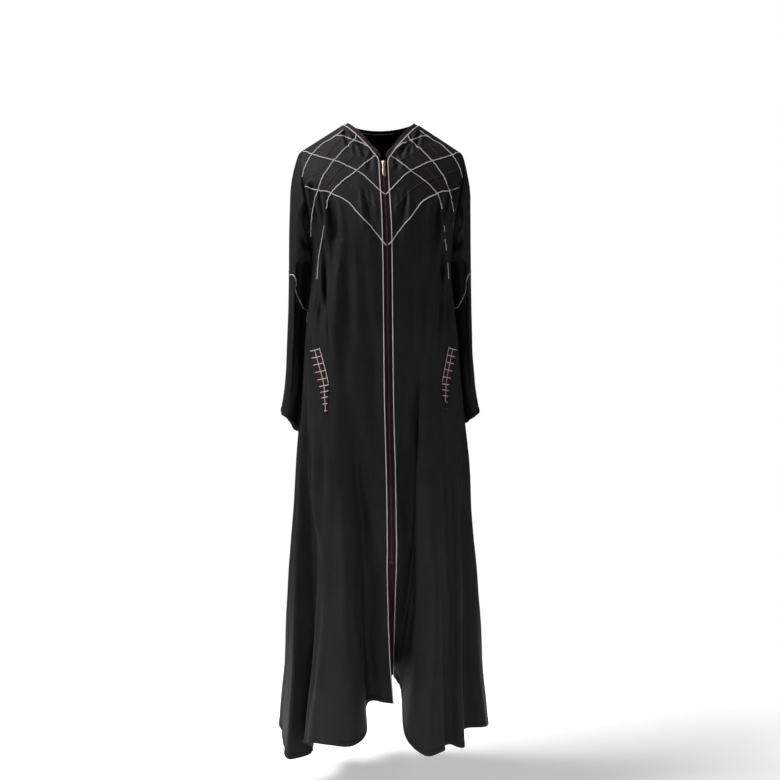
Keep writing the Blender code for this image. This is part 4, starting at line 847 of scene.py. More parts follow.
crepe = {
    "name": "blackCrepe", "across": 5200.0, "along": 4600.0, "crinkle": 1.1, "slub": 0.8,
    "dark": (0.0048, 0.0048, 0.0053), "light": (0.0098, 0.0097, 0.01), "rough": (0.46, 0.62),
    "bump": 0.35, "relief": 0.0004, "sheen": 0.018, "sheenTint": (0.84, 0.86, 0.82), "specular": 0.085,
}
wine = {
    "name": "wineCord", "across": 7000.0, "along": 5200.0, "crinkle": 0.9, "slub": 0.5,
    "dark": (0.022, 0.0055, 0.008), "light": (0.05, 0.012, 0.017), "rough": (0.55, 0.75),
    "bump": 0.5, "relief": 0.0002, "sheen": 0.1, "sheenTint": (0.85, 0.62, 0.64), "specular": 0.2,
}
tapeLook = {
    "name": "wineTape", "across": 7000.0, "along": 3400.0, "crinkle": 0.6, "slub": 0.6,
    "dark": (0.009, 0.0024, 0.0032), "light": (0.021, 0.0056, 0.0078), "rough": (0.6, 0.8),
    "bump": 0.5, "relief": 0.0002, "sheen": 0.02, "sheenTint": (0.85, 0.55, 0.58), "specular": 0.08,
}
ivory = {
    "name": "ivoryCord", "across": 7600.0, "along": 5000.0, "crinkle": 0.8, "slub": 0.4,
    "dark": (0.36, 0.335, 0.345), "light": (0.56, 0.53, 0.54), "rough": (0.5, 0.68),
    "bump": 0.4, "relief": 0.0002, "sheen": 0.05, "sheenTint": (1.0, 1.0, 1.0), "specular": 0.25,
}
nylon = {
    "name": "zipNylon", "across": 3000.0, "along": 3000.0, "crinkle": 0.3, "slub": 0.2,
    "dark": (0.01, 0.006, 0.0072), "light": (0.02, 0.0115, 0.0135), "rough": (0.3, 0.42),
    "bump": 0.1, "relief": 0.0001, "sheen": 0.0, "sheenTint": (1.0, 1.0, 1.0), "specular": 0.4,
}
black, maroon, tapeFinish, white, teethFinish = map(clothMaterial, (crepe, wine, tapeLook, ivory, nylon))


def metalMaterial():
    # Bright plated metal with fine scratches and a little tarnish.
    made, tree, shader = newMaterial("platedMetal")
    where = put(tree, "ShaderNodeTexCoord").outputs["Object"]
    long = put(tree, "ShaderNodeMapping", {0: where, "Scale": (2600, 2600, 160)}).outputs[0]
    scratch = put(tree, "ShaderNodeTexNoise", {"Vector": long, "Scale": 1.0, "Detail": 3.0}).outputs[0]
    cloud = put(tree, "ShaderNodeTexNoise", {"Vector": where, "Scale": 260.0, "Detail": 4.0}).outputs[0]
    colour = ramp(tree, cloud, [(0.3, (0.6, 0.49, 0.44)), (0.7, (0.86, 0.76, 0.71))])
    tree.links.new(colour, shader.inputs["Base Color"])
    rough = put(tree, "ShaderNodeMapRange", {0: scratch, 3: 0.16, 4: 0.36}).outputs[0]
    tree.links.new(rough, shader.inputs["Roughness"])
    bump = put(tree, "ShaderNodeBump", {"Height": scratch}, Strength=0.15, Distance=0.0001)
    tree.links.new(bump.outputs[0], shader.inputs["Normal"])
    shader.inputs["Metallic"].default_value = 1.0
    return made


metal = metalMaterial()
print("materials made")


# The cloth: two fronts, the back and two sleeves, each on its node's form

# the CAD node of each, and its whole cut: width, length and area
cloths = {
    "frontLeft": ("front_left", 0.6, 1.47, 0.47), "frontRight": ("front_right", 0.6, 1.47, 0.47),
    "back": ("back", 0.98, 1.47, 0.885),
    "sleeveLeft": ("sleeve_left", 0.51, 0.62, 0.163), "sleeveRight": ("sleeve_right", 0.51, 0.62, 0.163),
}


def makeSheet(name, panel):
    node, width, length, cutArea = cloths[name]
    part = gridPart(panel.points, panel.closed, panel.normals)
    piece = addPiece(name + "Cloth", part, black, (node,))
    wall = piece.modifiers.new("wall", "SOLIDIFY")
    wall.thickness, wall.offset = cut["wall"], 0
    flat, [(faces, _)] = part
    a, b, c, d = (flat[faces[:, k]] for k in range(4))
    area = np.linalg.norm(np.cross(c - a, d - b), axis=1).sum() / 2
    across = max(lengths(row)[-1] for row in panel.points[::8])
    down = lengths(panel.points[:, panel.points.shape[1] // 3])[-1]
    print(name, "across", round(across, 3), "down", round(down, 3), "area", round(area, 4))


panels = {}
for name, side in (("frontLeft", 1), ("frontRight", -1)):
    panels[name] = Panel(*dressBody(name, frontGrid(side)))
panels["back"] = Panel(*dressBody("back", backGrid()))
for name, side in (("sleeveLeft", 1), ("sleeveRight", -1)):
    panels[name] = Panel(*dressSleeve(side, sleeveGrid(side)), closed=True)
for name, panel in panels.items():
    makeSheet(name, panel)
print("cloth made")


# Cords: twisted ropes sewn on the cloth

lobes = 2  # strands that turn round every rope
ropes = {
    "white": {"wide": 0.0017, "high": 0.0014, "lift": 0.0007, "sides": 10, "groove": 0.12, "pitch": 0.0056},
    "maroon": {"wide": 0.0014, "high": 0.0011, "lift": 0.0005, "sides": 8, "groove": 0.12, "pitch": 0.0042},
    "pocket": {"wide": 0.0014, "high": 0.0012, "lift": 0.0021, "sides": 8, "groove": 0.1, "pitch": 0.004},
    "piping": {"wide": 0.0019, "high": 0.0017, "lift": 0.0009, "sides": 10, "groove": 0.06, "pitch": 0.0035},
    "lip": {"wide": 0.004, "high": 0.0019, "lift": 0.0009, "sides": 12, "groove": 0.02, "pitch": 0.009},
}

# where one cord passes over another: how far it rises, and how near the other it starts to
over = {
    "maroonOnMaroon": (0.0009, 0.002), "whiteOnMaroon": (0.0008, 0.0022), "whiteOnWhite": (0.0015, 0.003),
    "pocketRung": (0.0009, 0.0018),
}

# x, z on a left front: two families, the second over the first
yoke = {
    "white": (
        (
            ((0.113, -0.03), (0.097, -0.026), (0.085, -0.029), (0.0695, -0.0354), (0.0558, -0.0408),
             (0.0449, -0.0446), (0.0382, -0.0503), (0.0268, -0.0591)),
            ((0.18, -0.0618), (0.1741, -0.063), (0.1587, -0.0698), (0.1384, -0.0764), (0.1249, -0.0806),
             (0.1073, -0.0852), (0.0871, -0.0943), (0.0702, -0.1026), (0.0529, -0.1125), (0.0351, -0.128),
             (0.019, -0.1448), (0.009, -0.154)),
            ((0.1771, -0.1415), (0.1643, -0.1467), (0.1463, -0.1519), (0.1291, -0.154), (0.1151, -0.1605),
             (0.0994, -0.1676), (0.0844, -0.1765), (0.0708, -0.192), (0.0568, -0.2092), (0.0446, -0.2222),
             (0.0301, -0.2392), (0.0175, -0.2555), (0.009, -0.266)),
        ),
        (
            ((0.087, -0.012), (0.105, -0.027), (0.119, -0.036), (0.1304, -0.0411), (0.1484, -0.0568),
             (0.1655, -0.0768), (0.1768, -0.0989), (0.1833, -0.1212)),
            ((0.058, -0.024), (0.0632, -0.0364), (0.0738, -0.044), (0.0768, -0.051), (0.0834, -0.0543),
             (0.0974, -0.0689), (0.1137, -0.0869), (0.1298, -0.1092), (0.1392, -0.1242), (0.1462, -0.1441),
             (0.1547, -0.1692), (0.1611, -0.2002), (0.1635, -0.2271), (0.1637, -0.2559)),
            ((0.0175, -0.0736), (0.0281, -0.0804), (0.0444, -0.0927), (0.0647, -0.1102), (0.0886, -0.1273),
             (0.1057, -0.1424), (0.1183, -0.1566), (0.1264, -0.1705), (0.1311, -0.1931)),
            ((0.1352, -0.2294), (0.1398, -0.2581), (0.1466, -0.3001), (0.151, -0.3519)),
        ),
    ),
    "maroon": (
        (
            ((0.126, -0.048), (0.1, -0.054), (0.066, -0.069), (0.042, -0.082), (0.018, -0.097)),
            ((0.184, -0.098), (0.157, -0.108), (0.126, -0.119), (0.106, -0.125), (0.074, -0.141),
             (0.052, -0.157), (0.032, -0.177), (0.018, -0.193)),
        ),
        (
            ((0.089, -0.031), (0.104, -0.044), (0.118, -0.06), (0.132, -0.078)),
            ((0.052, -0.063), (0.07, -0.078), (0.087, -0.093), (0.11, -0.117), (0.132, -0.146)),
        ),
    ),
    "inset": 0.0013, "onward": 0.0118,
    # turn from the shoulder, forwards, and share of the sleeve's length: the way of the cord round a sleeve
    "sleeveRing": [
        (0.0, 0.577), (0.05, 0.571), (0.11, 0.553), (0.173, 0.538), (0.215, 0.553), (0.25, 0.578),
        (0.285, 0.597), (0.31, 0.602), (0.365, 0.588), (0.43, 0.574), (0.5, 0.566), (0.62, 0.572),
        (0.76, 0.584), (0.88, 0.584), (1.0, 0.577),
    ],
    "wobble": 0.00045, "swings": (0.009, 0.014, 0.031), "maroonOver": 0.016,
}
# outerX, outerZ, innerX, innerZ of the pocket welt, from its top down
pocket = {
    "edges": [
        (0.17, -0.513, 0.146, -0.505), (0.16, -0.551, 0.136, -0.543), (0.15, -0.59, 0.127, -0.583),
        (0.144, -0.621, 0.1295, -0.617), (0.137, -0.656, 0.1322, -0.657),
    ],
    "rungs": 10, "thick": 0.0016, "gap": 0.0001, "rows": 60, "cols": 22,
    "flat": (0.042, 0.15), "area": 0.0046,
}
sides = {"Left": 1, "Right": -1}
fine = 0.0012  # metres between a cord's rings


def onward(path, ups, reach):  # the same way, carried straight on from its last point
    way = unit(path[-1] - path[-5])
    more = np.arange(fine, reach, fine)[:, None]
    return np.concatenate([path, path[-1] + way * more]), np.concatenate([ups, ups[-1] + 0 * more])


def besideEdge(lines, normals, inset):  # a way inset from the first point of each line
    spots = []
    for line, up in zip(lines, normals):
        s = lengths(line)
        spots.append([np.interp(inset, s, both) for both in np.concatenate([line, up], 1).T])
    both = evenly(smooth(np.array(spots), 2), fine)
    return both[:, :3], unit(both[:, 3:])


def wobbled(path, ups):  # sewn by hand: small sideways swings, a centimetre or so long
    s = lengths(path)
    swings = 0
    for long in yoke["swings"]:
        size, start = rng.uniform(0.4, 1), rng.uniform(0, 6.28)
        swings = swings + size * np.sin(2 * math.pi * s / long + start)
    ends = smoothstep(np.minimum(s, s[-1] - s), 0, 0.006)
    return path + sideways(path, ups) * (yoke["wobble"] * swings * ends)[:, None]


def familyWays(panel, side, families):
    for family in families:
        placed = []
        for corners in family:
            path, ups = panel.route(corners, fine, side)
            path = wobbled(path, ups)
            if corners[-1][0] < cut["zipHalf"] + 0.001:
                path, ups = onward(path, ups, yoke["onward"])
            placed.append((path, ups))
        yield placed


def addCords(word, side):
    panel = panels["front" + word]
    maroonWays = list(familyWays(panel, side, yoke["maroon"]))
    low = [path for path, _ in maroonWays[0]]
    parts = [rope(path, ups, ropes["maroon"]) for path, ups in maroonWays[0]]
    for path, ups in maroonWays[1]:
        parts.append(rope(crossLift(path, ups, low, *over["maroonOnMaroon"]), ups, ropes["maroon"]))
    addPiece("maroonCords" + word, joined(parts), maroon, ("maroon_cords_" + word.lower(),))

    edge, edgeUps = besideEdge(panel.outer[1:], panel.normals[1:], yoke["inset"])
    edge, edgeUps = edge[:-2], edgeUps[:-2]
    under = [path for family in maroonWays for path, _ in family]
    parts, laid = [rope(edge, edgeUps, ropes["white"])], [edge]
    for family in familyWays(panel, side, yoke["white"]):
        for path, ups in family:
            path = crossLift(path, ups, under, *over["whiteOnMaroon"])
            parts.append(rope(crossLift(path, ups, laid, *over["whiteOnWhite"]), ups, ropes["white"]))
        laid = laid + [path for path, _ in family]
    addPiece("whiteCords" + word, joined(parts), white, ("white_cords_" + word.lower(),))


def backNeck():  # which columns of the back end at the neck and not at a shoulder
    return np.abs(panels["back"].points[0, :, 0]) < cut["neckHalf"] * 0.97


def addNeckCord():
    panel, behind = panels["back"], backNeck()
    lines, ups = panel.outer[:9, behind].transpose(1, 0, 2), panel.normals[1:10, behind].transpose(1, 0, 2)
    path, ups = besideEdge(lines, ups, 2 * yoke["inset"])
    addPiece("neckCordBack", rope(path, ups, ropes["white"]), white, ("neck_cord_back",))


def ringOn(panel, above=0.0):  # a closed way round a sleeve
    count, shares = panel.outer.shape[1], sleeveShares()
    share = curveThrough(*np.array(yoke["sleeveRing"]).T, np.arange(count) / count) - above
    low = np.searchsorted(shares, share) - 1
    part = ((share - shares[low]) / (shares[low + 1] - shares[low]))[:, None]
    at = np.arange(count)
    both = [rows[low, at] * (1 - part) + rows[low + 1, at] * part for rows in (panel.outer, panel.normals)]
    both = np.concatenate(both, 1)
    both = np.concatenate([both[-6:], both, both[:7]])
    both = smooth(both, 2)[6:-6]
    both = evenly(both, fine)[:-1]
    return both[:, :3], unit(both[:, 3:])


def addSleeveCords(word):
    panel = panels["sleeve" + word]
    path, ups = ringOn(panel)
    ring = rope(path, ups, ropes["white"], loop=True)
    addPiece("sleeveCord" + word, ring, white, ("sleeve_cord_" + word.lower(),))
    path, ups = ringOn(panel, yoke["maroonOver"])
    addPiece("sleeveLine" + word, rope(path, ups, ropes["maroon"], loop=True), maroon)


for word, side in sides.items():
    addCords(word, side)
    addSleeveCords(word)
addNeckCord()
print("cords made")


# Neckband and pocket welts: soft strips, closed all round

rim = 0.16  # share of a strip's width over which it comes up to its full thickness


def pillow(points, ups, thick):
    # A grid given a front and a back that meet at its rim; thickness rises as 1 - (1 - t)^4 from each edge.
    rows, cols = points.shape[:2]
    u = np.minimum(np.linspace(0, 1, cols), np.linspace(1, 0, cols)) / rim
    v = np.minimum(np.linspace(0, 1, rows), np.linspace(1, 0, rows)) / (rim * cols / rows)
    rise = np.sqrt((1 - (1 - np.clip(u, 0, 1)) ** 4)[None] * (1 - (1 - np.clip(v, 0, 1)) ** 4)[:, None])
    lift = ups * (rise * thick / 2)[..., None]
    return joined([gridPart(points + lift, outward=ups), gridPart(points - lift, outward=-ups)])


def closeRim(piece, gap=0.000002):  # welds the two faces where they meet
    mesh = bmesh.new()
    mesh.from_mesh(piece.data)
    bmesh.ops.remove_doubles(mesh, verts=mesh.verts, dist=gap)
    mesh.to_mesh(piece.data)
    mesh.free()


neckband = {
    "step": 0.0012, "inset": 0.0005, "wide": 0.0098, "wideAtEnds": 0.006, "columns": 15, "thick": 0.0015,
    "piping": (0.12, 0.84), "flatWide": 0.0104, "areaWide": 0.0101,
}


def addNeckband():
    vRow = int(np.abs(rowsDown() - 0.5).argmin())
    right, left, back = panels["frontRight"], panels["frontLeft"], panels["back"]
    behind = np.flatnonzero(backNeck())[::-1]
    up, down = slice(vRow, 0, -1), slice(1, vRow + 1)
    path = np.concatenate([right.points[up, 0], back.points[0, behind], left.points[down, 0]])
    ups = np.concatenate([right.normals[up, 0], back.normals[0, behind], left.normals[down, 0]])
    both = evenly(smooth(np.concatenate([path, ups], 1), 3), neckband["step"])
    path, ups = both[:, :3], smooth(unit(both[:, 3:]), 10)
    tangent = unit(np.gradient(path, axis=0))
    into = unit(np.cross(tangent, ups))
    into *= np.sign((into * ([0, 0.02, 0.03] - path)).sum(axis=1))[:, None]
    into[:3], into[-3:] = [0, 0, 1], [0, 0, 1]
    into = unit(smooth(into, 6))
    ups = unit(np.cross(into, tangent))
    if ups[0][1] > 0:
        ups *= np.sign((ups * [0, -1, 0.4]).sum(axis=1).mean())
    near, last = path + into * neckband["inset"], len(path) - 1
    ends = (neckband["wideAtEnds"], neckband["wide"], neckband["wide"], neckband["wideAtEnds"])
    reach = np.interp(np.arange(len(path)), (0, 12, last - 12, last), ends)
    share = np.linspace(0, 1, neckband["columns"])
    points = near[:, None] + into[:, None] * (reach[:, None] * share)[..., None]
    part = pillow(points, ups[:, None] + 0 * points, neckband["thick"])
    strip = addPiece("neckStrip", part, black, ("neckband",))
    closeRim(strip)
    flat = lengths(path)[-1]
    print("neckband long", round(flat, 3))
    parts = []
    for at in neckband["piping"]:
        parts.append(rope(near[2:-2] + into[2:-2] * (reach * at)[2:-2, None], ups[2:-2], ropes["piping"]))
    addPiece("neckPiping", joined(parts), maroon)


def addPocket(word, side):
    panel, edges = panels["front" + word], np.array(pocket["edges"])
    knots, down = np.linspace(0, 1, len(edges)), np.linspace(0, 1, pocket["rows"])
    outer, inner = (
        np.stack([curveThrough(knots, edges[:, k], down) for k in pair], 1) for pair in ((0, 1), (2, 3))
    )
    share = np.linspace(0, 1, pocket["cols"])[None, :, None]
    flat = (inner[:, None] * (1 - share) + outer[:, None] * share) * [side, 1]
    spots, ups = panel.seen(*flat.reshape(-1, 2).T)
    ups = smooth(ups.reshape(*flat.shape[:2], 3), 12).transpose(1, 0, 2)
    ups = unit(smooth(ups, 12).transpose(1, 0, 2))
    points = smooth(spots.reshape(*flat.shape[:2], 3), 2) + ups * (pocket["gap"] + pocket["thick"] / 2)
    part, node = pillow(points, ups, pocket["thick"]), "pocket_welt_" + word.lower()
    welt = addPiece("pocketWelt" + word, part, tapeFinish, (node,))
    closeRim(welt)

    # one cord runs down the inner edge to half way, and one down the middle
    middle = (inner + outer) / 2
    ways = [[inner[0] + [0.0012, -0.001], inner[15] + [0.0012, 0], inner[30] + [0.0012, 0]]]
    ways.append([middle[k] for k in (1, 15, 30, 45, 56)])
    cords = [panel.route(way, fine, side) for way in ways]
    parts = [rope(path, ups, ropes["pocket"]) for path, ups in cords]
    for at in np.linspace(0.02, 0.93, pocket["rungs"]):
        a, b = (np.array([np.interp(at, down, line[:, n]) for n in (0, 1)]) for line in (outer, inner))
        path, ups = panel.route([a + (b - a) * 0.03, b + (a - b) * 0.01], fine, side)
        path = crossLift(path, ups, [way for way, _ in cords], *over["pocketRung"])
        parts.append(rope(path, ups, ropes["pocket"]))
    addPiece("pocketCords" + word, joined(parts), white, ("pocket_cords_" + word.lower(),))
    path, ups = panel.route([outer[k] + [0.0018, 0] for k in (0, 15, 30, 45, 58)], fine * 2, side)
    addPiece("pocketLip" + word, rope(path, ups, ropes["lip"]), black)


addNeckband()
for word, side in sides.items():
    addPocket(word, side)
print("neckband and pockets made")


# The zip: ribbed tapes, a coil of teeth, a bar tack, the slider and its tab

zipper = {
    "top": -0.083, "tapeMiddle": 0.0053, "tapeWide": 0.006, "tapeThick": 0.001,
    "rib": 0.00009, "ribPitch": 0.00092, "facingEnd": -1.283, "facingThick": 0.0009, "facingBehind": 0.0022,
    "tackStrands": 7, "tackHalf": 0.0062, "tackTop": 0.0052, "tackStep": 0.0009, "tackHump": 0.0012,
    "pitch": 0.0015, "toothFrom": 0.0021, "toothTo": -0.0007, "toothHigh": 0.00046, "toothDeep": 0.0008,
    "chainMiddle": 0.0002, "chainFront": 0.0011,
    "sliderZ": -0.091, "sliderLong": 0.0125, "sliderWide": 0.0086, "sliderThick": 0.0022,
    "sliderGap": 0.0003,
    "archLong": 0.009, "archHigh": 0.004, "archWide": 0.0016, "archBar": 0.0013,
    "tabLong": 0.0354, "tabWide": 0.0068, "tabThick": 0.0014, "tabBar": 0.0016, "tabSlot": 0.009,
    "tabPlay": 0.0006, "tabHangs": 0.0012, "tabFieldTop": -0.0135,
}


def zipLine(heights):  # the centre front and which way it faces
    depth = -column("body", 2, heights)
    slope = (-column("body", 2, heights + 0.002) - depth) / 0.002
    ups = unit(np.stack([0 * slope, -1 + 0 * slope, slope], -1))
    return np.stack([0 * depth, depth, heights], -1), ups


def addTapes():
    heights = np.arange(zipper["top"], cut["zipEnd"], -0.003)
    middle, ups = zipLine(heights)
    angle = np.arange(44) / 44 * 2 * math.pi
    c, s = np.cos(angle), np.sin(angle)
    x = zipper["tapeWide"] / 2 * np.sign(c) * np.abs(c) ** 0.35
    y = zipper["tapeThick"] / 2 * (np.sign(s) * np.abs(s) ** 0.5 - 1)
    y = y + zipper["rib"] * np.cos(2 * math.pi * x / zipper["ribPitch"]) * (s > 0.3)
    rings = np.stack([x, y], -1)[None] + np.zeros((len(middle), 1, 1))
    for word, side in sides.items():
        part = sweep(middle + [side * zipper["tapeMiddle"], 0, 0], ups, rings)
        addPiece("zipTape" + word, part, tapeFinish, ("zip_tape_" + word.lower(),))


def addTeeth():
    # One tooth is a bead along x with a broad head; copies of it alternate down the chain.
    around = 8
    along = np.array([0, 0.08, 0.42, 0.74, 0.92, 1.0])
    radius = np.array([0.35, 0.8, 0.74, 1.0, 0.86, 0.4])
    angle = np.arange(around) / around * 2 * math.pi
    x = zipper["toothFrom"] + (zipper["toothTo"] - zipper["toothFrom"]) * along
    tooth = np.stack([
        x[:, None] + 0 * angle, zipper["toothHigh"] * radius[:, None] * np.cos(angle),
        zipper["toothDeep"] * radius[:, None] * np.sin(angle) * (0.72 + 0.28 * along[:, None]),
    ], -1)
    flat, [(faces, uv)] = gridPart(tooth, closed=True, outward=tooth - tooth.mean(axis=1, keepdims=True))
    parts = []
    for side, start in ((1, 0), (-1, zipper["pitch"] / 2)):
        heights = np.arange(zipper["top"] - 0.001 - start, cut["zipEnd"] + 0.001, -zipper["pitch"])
        middle, ups = zipLine(heights)
        tangent = unit(np.cross([1, 0, 0], ups))
        lean = 0.12 * flat[:, :1]
        points = middle[:, None] + ups[:, None] * (flat[:, 2:] + zipper["chainMiddle"])
        points = points + tangent[:, None] * (flat[:, 1:2] + lean)
        points = points + np.array([side, 0, 0]) * flat[:, :1]
        first = np.arange(len(heights))[:, None, None] * len(flat)
        many = (faces if side > 0 else faces[:, ::-1])[None] + first
        ends = np.stack([np.arange(around), len(flat) - 1 - np.arange(around)])
        foot = points[0][ends[0]]
        facing = np.cross(foot[1] - foot[0], foot[2] - foot[0]) @ (foot.mean(0) - points[0].mean(0))
        caps = (ends if facing > 0 else ends[:, ::-1])[None] + first
        moved = uv[None] + np.stack([0 * heights, -heights], 1)[:, None, None]
        groups = [(many.reshape(-1, 4), moved.reshape(-1, 4, 2))]
        groups.append((caps.reshape(-1, around), np.zeros((2 * len(heights), around, 2))))
        parts.append((points.reshape(-1, 3), groups))
    addPiece("zipTeeth", joined(parts), teethFinish, ("zip_chain",))


def addFacing():
    # Below the zip's end a wine strip closes the gap between the two fronts' edges, until they cross.
    heights = np.linspace(cut["zipEnd"] + 0.008, zipper["facingEnd"], 90)
    ends = []
    for word in ("frontRight", "frontLeft"):
        edge = panels[word].points[:, 0][::-1]
        ends.append(np.stack([np.interp(heights, edge[:, 2], edge[:, k]) for k in range(3)], 1))
    share = np.linspace(0, 1, 14)[None, :, None]
    points = ends[0][:, None] * (1 - share) + ends[1][:, None] * share
    ups = np.zeros_like(points) + [0, -1, 0]
    behind = zipper["facingBehind"] * (1 + np.sin(math.pi * share))
    behind = behind + 0.004 * smoothstep(heights + 0.03, cut["zipEnd"], 0.03)[:, None, None]
    part = pillow(points - ups * behind, ups, zipper["facingThick"])
    strip = addPiece("zipFacing", part, tapeFinish)
    closeRim(strip)


def addBarTack():
    parts = []
    for k in range(zipper["tackStrands"]):
        x = np.linspace(-1, 1, 26) * zipper["tackHalf"]
        height = cut["zipEnd"] + zipper["tackTop"] - zipper["tackStep"] * k
        middle, ups = zipLine(height + 0.0001 * np.sin(900 * x + k))
        path = middle + ups * (0.0002 + zipper["tackHump"] * hump(x, 0, 0.0028))[:, None]
        path[:, 0] = x + 0.0002 * math.sin(5 * k)
        parts.append(rope(path, ups, {**ropes["maroon"], "lift": 0.0004}))
    addPiece("barTack", joined(parts), maroon)


def sliderFrame(outward, down=0.0):
    # Across, up and out of the slider, and a point that far out from the chain and down along it.
    ends, _ = zipLine(zipper["sliderZ"] + np.array([1, -1]) * zipper["sliderLong"] / 2)
    up, across = unit(ends[0] - ends[1]), np.array([1.0, 0, 0])
    up = unit(np.array([0, up[1], up[2]]))
    out = np.cross(across, up)
    middle, _ = zipLine(np.array([zipper["sliderZ"]]))
    return across, up, out, middle[0] + out * (zipper["chainFront"] + outward) - up * down


def plate(outlines, thick, x, y, z, origin, edge):
    # A flat outline with its holes, as thick as given and rounded at its edges.
    curve = bpy.data.curves.new("plate", "CURVE")
    curve.dimensions, curve.fill_mode = "2D", "BOTH"
    curve.extrude, curve.bevel_depth, curve.bevel_resolution = thick / 2 - edge, edge, 3
    curve.offset = -edge
    for outline in outlines:
        way = curve.splines.new("POLY")
        way.points.add(len(outline) - 1)
        way.use_cyclic_u = True
        way.points.foreach_set("co", [part for a, b in outline for part in (a, b, 0, 1)])
    made = bpy.data.objects.new("plate", curve)
    bpy.context.scene.collection.objects.link(made)
    bpy.context.view_layer.update()
    mesh = bpy.data.meshes.new_from_object(made.evaluated_get(bpy.context.evaluated_depsgraph_get()))
    bpy.data.objects.remove(made)
    flat = np.array([v.co for v in mesh.vertices])
    groups = []
    for size in sorted({len(face.vertices) for face in mesh.polygons}):
        faces = np.array([list(face.vertices) for face in mesh.polygons if len(face.vertices) == size])
        groups.append((faces, flat[faces][..., :2]))
    bpy.data.meshes.remove(mesh)
    return origin + flat[:, :1] * x + flat[:, 1:2] * y + flat[:, 2:] * z, groups


def rounded(outline, rounds=2):  # cuts each corner at a quarter of its sides
    outline = np.array(outline)
    for _ in range(rounds):
        after = np.roll(outline, -1, 0)
        outline = np.stack([outline * 0.75 + after * 0.25, outline * 0.25 + after * 0.75], 1).reshape(-1, 2)
    return outline.tolist()


def addMetal(name, parts, nodes, body):
    piece = addPiece(name, joined(parts), metal, nodes, body)
    closeRim(piece, 0.00001)
    soft = piece.modifiers.new("normals", "WEIGHTED_NORMAL")
    soft.keep_sharp = True


def addSlider():
    wide, long = zipper["sliderWide"] / 2, zipper["sliderLong"] / 2
    outline = [(-wide, 0.75 * long), (-0.6 * wide, long), (0.6 * wide, long), (wide, 0.75 * long)]
    outline += [(wide, -0.2 * long), (0.62 * wide, -long), (-0.62 * wide, -long), (-wide, -0.2 * long)]
    across, up, out, middle = sliderFrame(zipper["sliderGap"] + zipper["sliderThick"] / 2)
    parts = [plate([rounded(outline)], zipper["sliderThick"], across, up, out, middle, 0.0007)]
    small = (np.array(outline) * 0.62).tolist()
    parts.append(plate([rounded(small)], 0.0008, across, up, out, middle + out * 0.0011, 0.0003))
    for side in (1, -1):
        flange = [(0.0033, 0.0026), (0.0043, 0.0026), (0.0043, -0.002), (0.0033, -0.0036)]
        flange = [(side * a, b) for a, b in flange][::side]
        parts.append(plate([rounded(flange)], 0.0018, across, up, out, middle - out * 0.0014, 0.0003))
    across, up, out, middle = sliderFrame(zipper["sliderGap"] + zipper["sliderThick"])
    long, top, sunk = zipper["archLong"] / 2, zipper["archHigh"], -0.0004
    inner, under = long - zipper["archBar"], top - zipper["archBar"]
    outline = [(-long, sunk), (-long, 0.65 * top), (-0.75 * long, top), (0.75 * long, top)]
    outline += [(long, 0.65 * top), (long, sunk), (inner, sunk), (inner, under)]
    outline += [(-inner, under), (-inner, sunk)]
    parts.append(plate([outline], zipper["archWide"], up, out, across, middle, 0.0004))
    addMetal("sliderBody", parts, ("slider",), "garment")


def addTab():
    bar, shoulder = zipper["tabBar"] / 2, -zipper["tabSlot"] - 0.002
    half, foot = zipper["tabWide"] / 2, zipper["tabLong"] - zipper["tabWide"] / 2
    narrow, waist = 0.76 * half, (0.9 * half, -0.45 * foot)
    outline = [(-narrow, bar), (narrow, bar), (narrow, shoulder), waist]
    for angle in np.linspace(0, math.pi, 17):
        outline.append((half * math.cos(angle), -foot - half * math.sin(angle)))
    outline += [(-waist[0], waist[1]), (-narrow, shoulder)]
    side = zipper["archWide"] / 2 + zipper["tabPlay"]
    slot = [(-side, -bar), (side, -bar), (side, -zipper["tabSlot"]), (-side, -zipper["tabSlot"])]
    window = (zipper["archHigh"] - zipper["archBar"]) / 2
    outward = zipper["sliderGap"] + zipper["sliderThick"] + window
    across, up, out, hinge = sliderFrame(outward, zipper["tabHangs"])
    parts = [plate([outline, slot], zipper["tabThick"], across, up, out, hinge, 0.0003)]
    top = zipper["tabFieldTop"]
    field = [(a * 0.72, top + (b - top) * 0.8) for a, b in outline if b < -0.012]
    face = hinge + out * zipper["tabThick"] / 2
    parts.append(plate([rounded(field, 1)], 0.0005, across, up, out, face, 0.0002))
    addMetal("pullTab", parts, ("pull_tab",), "pull_tab")


addTapes()
addTeeth()
addFacing()
addBarTack()
addSlider()
addTab()
print("zip made")


# The stage: a plain pale floor, a white world, soft studio light and the photo's camera

stage = {
    "floorHeight": -1.62, "floorX": (-2, 2), "floorY": (-3, 1),
    "floorColour": (0.93, 0.93, 0.93), "floorGlow": 0.32,
    "worldShown": 1.0, "worldGlow": 0.05,
    "lens": 58.42, "sensor": 36, "camera": (-0.23827, -2.96812, -0.25), "aim": (0.02125, -0.00186, -0.616),
}
# place, target, size, watts, tint, and whether the camera sees it
lights = {
    "topLeft": ((-1.8, -0.3, 2.3), (0, 0, -0.4), (1.2, 1.2), 215, (1, 0.99, 0.975), True),
    "sideLeft": ((-3.0, -0.5, -0.1), (0, 0, -0.6), (1.0, 1.8), 22, (1, 0.99, 0.975), True),
    "right": ((2.8, -1.5, 0.2), (0, 0, -0.6), (1.4, 1.6), 36, (0.97, 0.985, 1), True),
    "floorGlow": ((-0.15, -0.9, -1.59), (0, -0.1, -1.3), (1.8, 0.35), 10, (1, 1, 1), False),
}


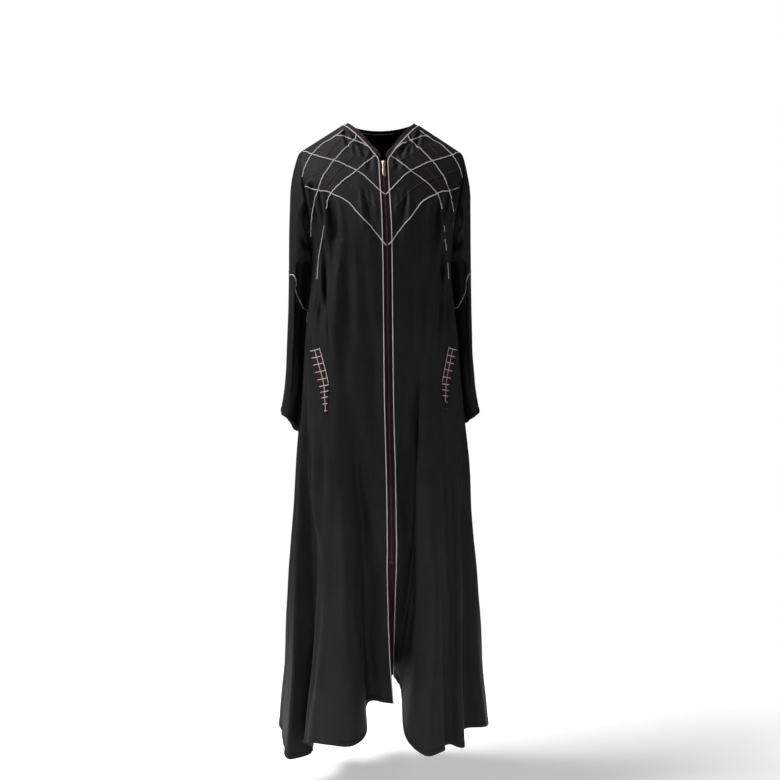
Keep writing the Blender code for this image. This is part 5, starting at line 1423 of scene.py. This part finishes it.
def stageMaterial(colour, glow):
    made, tree, shader = newMaterial("paleGround")
    where = put(tree, "ShaderNodeTexCoord").outputs["Object"]
    cloud = put(tree, "ShaderNodeTexNoise", {"Vector": where, "Scale": 3.0, "Detail": 4.0}).outputs[0]
    tones = [(0.3, tuple(0.985 * part for part in colour)), (0.7, colour)]
    tree.links.new(ramp(tree, cloud, tones), shader.inputs["Base Color"])
    shader.inputs["Roughness"].default_value = 0.9
    shader.inputs["Emission Color"].default_value = (1, 1, 1, 1)
    shader.inputs["Emission Strength"].default_value = glow
    return made


def addFloor():
    mesh = bpy.data.meshes.new("floor")
    (left, right), (front, behind), z = stage["floorX"], stage["floorY"], stage["floorHeight"]
    corners = [(left, front, z), (right, front, z), (right, behind, z), (left, behind, z)]
    mesh.from_pydata(corners, [], [(0, 1, 2, 3)])
    mesh.materials.append(stageMaterial(stage["floorColour"], stage["floorGlow"]))
    floor = bpy.data.objects.new("floor", mesh)
    bpy.context.scene.collection.objects.link(floor)
    floor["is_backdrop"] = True


def addLight(name, place, target, size, power, tint, seen):
    light = bpy.data.lights.new(name, "AREA")
    light.shape, light.size, light.size_y = "RECTANGLE", size[0], size[1]
    light.energy, light.color = power, tint
    lamp = bpy.data.objects.new(name, light)
    lamp.location = place
    lamp.rotation_euler = (Vector(target) - Vector(place)).to_track_quat("-Z", "Y").to_euler()
    lamp.visible_camera = seen
    bpy.context.scene.collection.objects.link(lamp)


def addWorld(shown, glow):  # white where it is seen, and a weaker glow on the cloth
    world = bpy.data.worlds.new("paleStudio")
    world.use_nodes = True
    tree = world.node_tree
    ray = put(tree, "ShaderNodeLightPath").outputs["Is Camera Ray"]
    strength = put(tree, "ShaderNodeMapRange", {0: ray, 3: glow, 4: shown}).outputs[0]
    tree.links.new(strength, tree.nodes["Background"].inputs["Strength"])
    tree.nodes["Background"].inputs["Color"].default_value = (1, 1, 1, 1)
    bpy.context.scene.world = world


def addCamera():
    lens = bpy.data.cameras.new("camera")
    lens.lens, lens.sensor_width = stage["lens"], stage["sensor"]
    camera = bpy.data.objects.new("camera", lens)
    camera.location = stage["camera"]
    aim = Vector(stage["aim"]) - camera.location
    camera.rotation_euler = aim.to_track_quat("-Z", "Y").to_euler()
    bpy.context.scene.collection.objects.link(camera)
    bpy.context.scene.camera = camera


addFloor()
for name, values in lights.items():
    addLight(name, *values)
addCamera()
addWorld(stage["worldShown"], stage["worldGlow"])
bpy.context.scene.view_settings.view_transform = "Standard"
print("stage made")

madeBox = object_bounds()
asLists = [[[float(part) for part in corner] for corner in box] for box in (cadBox, madeBox)]
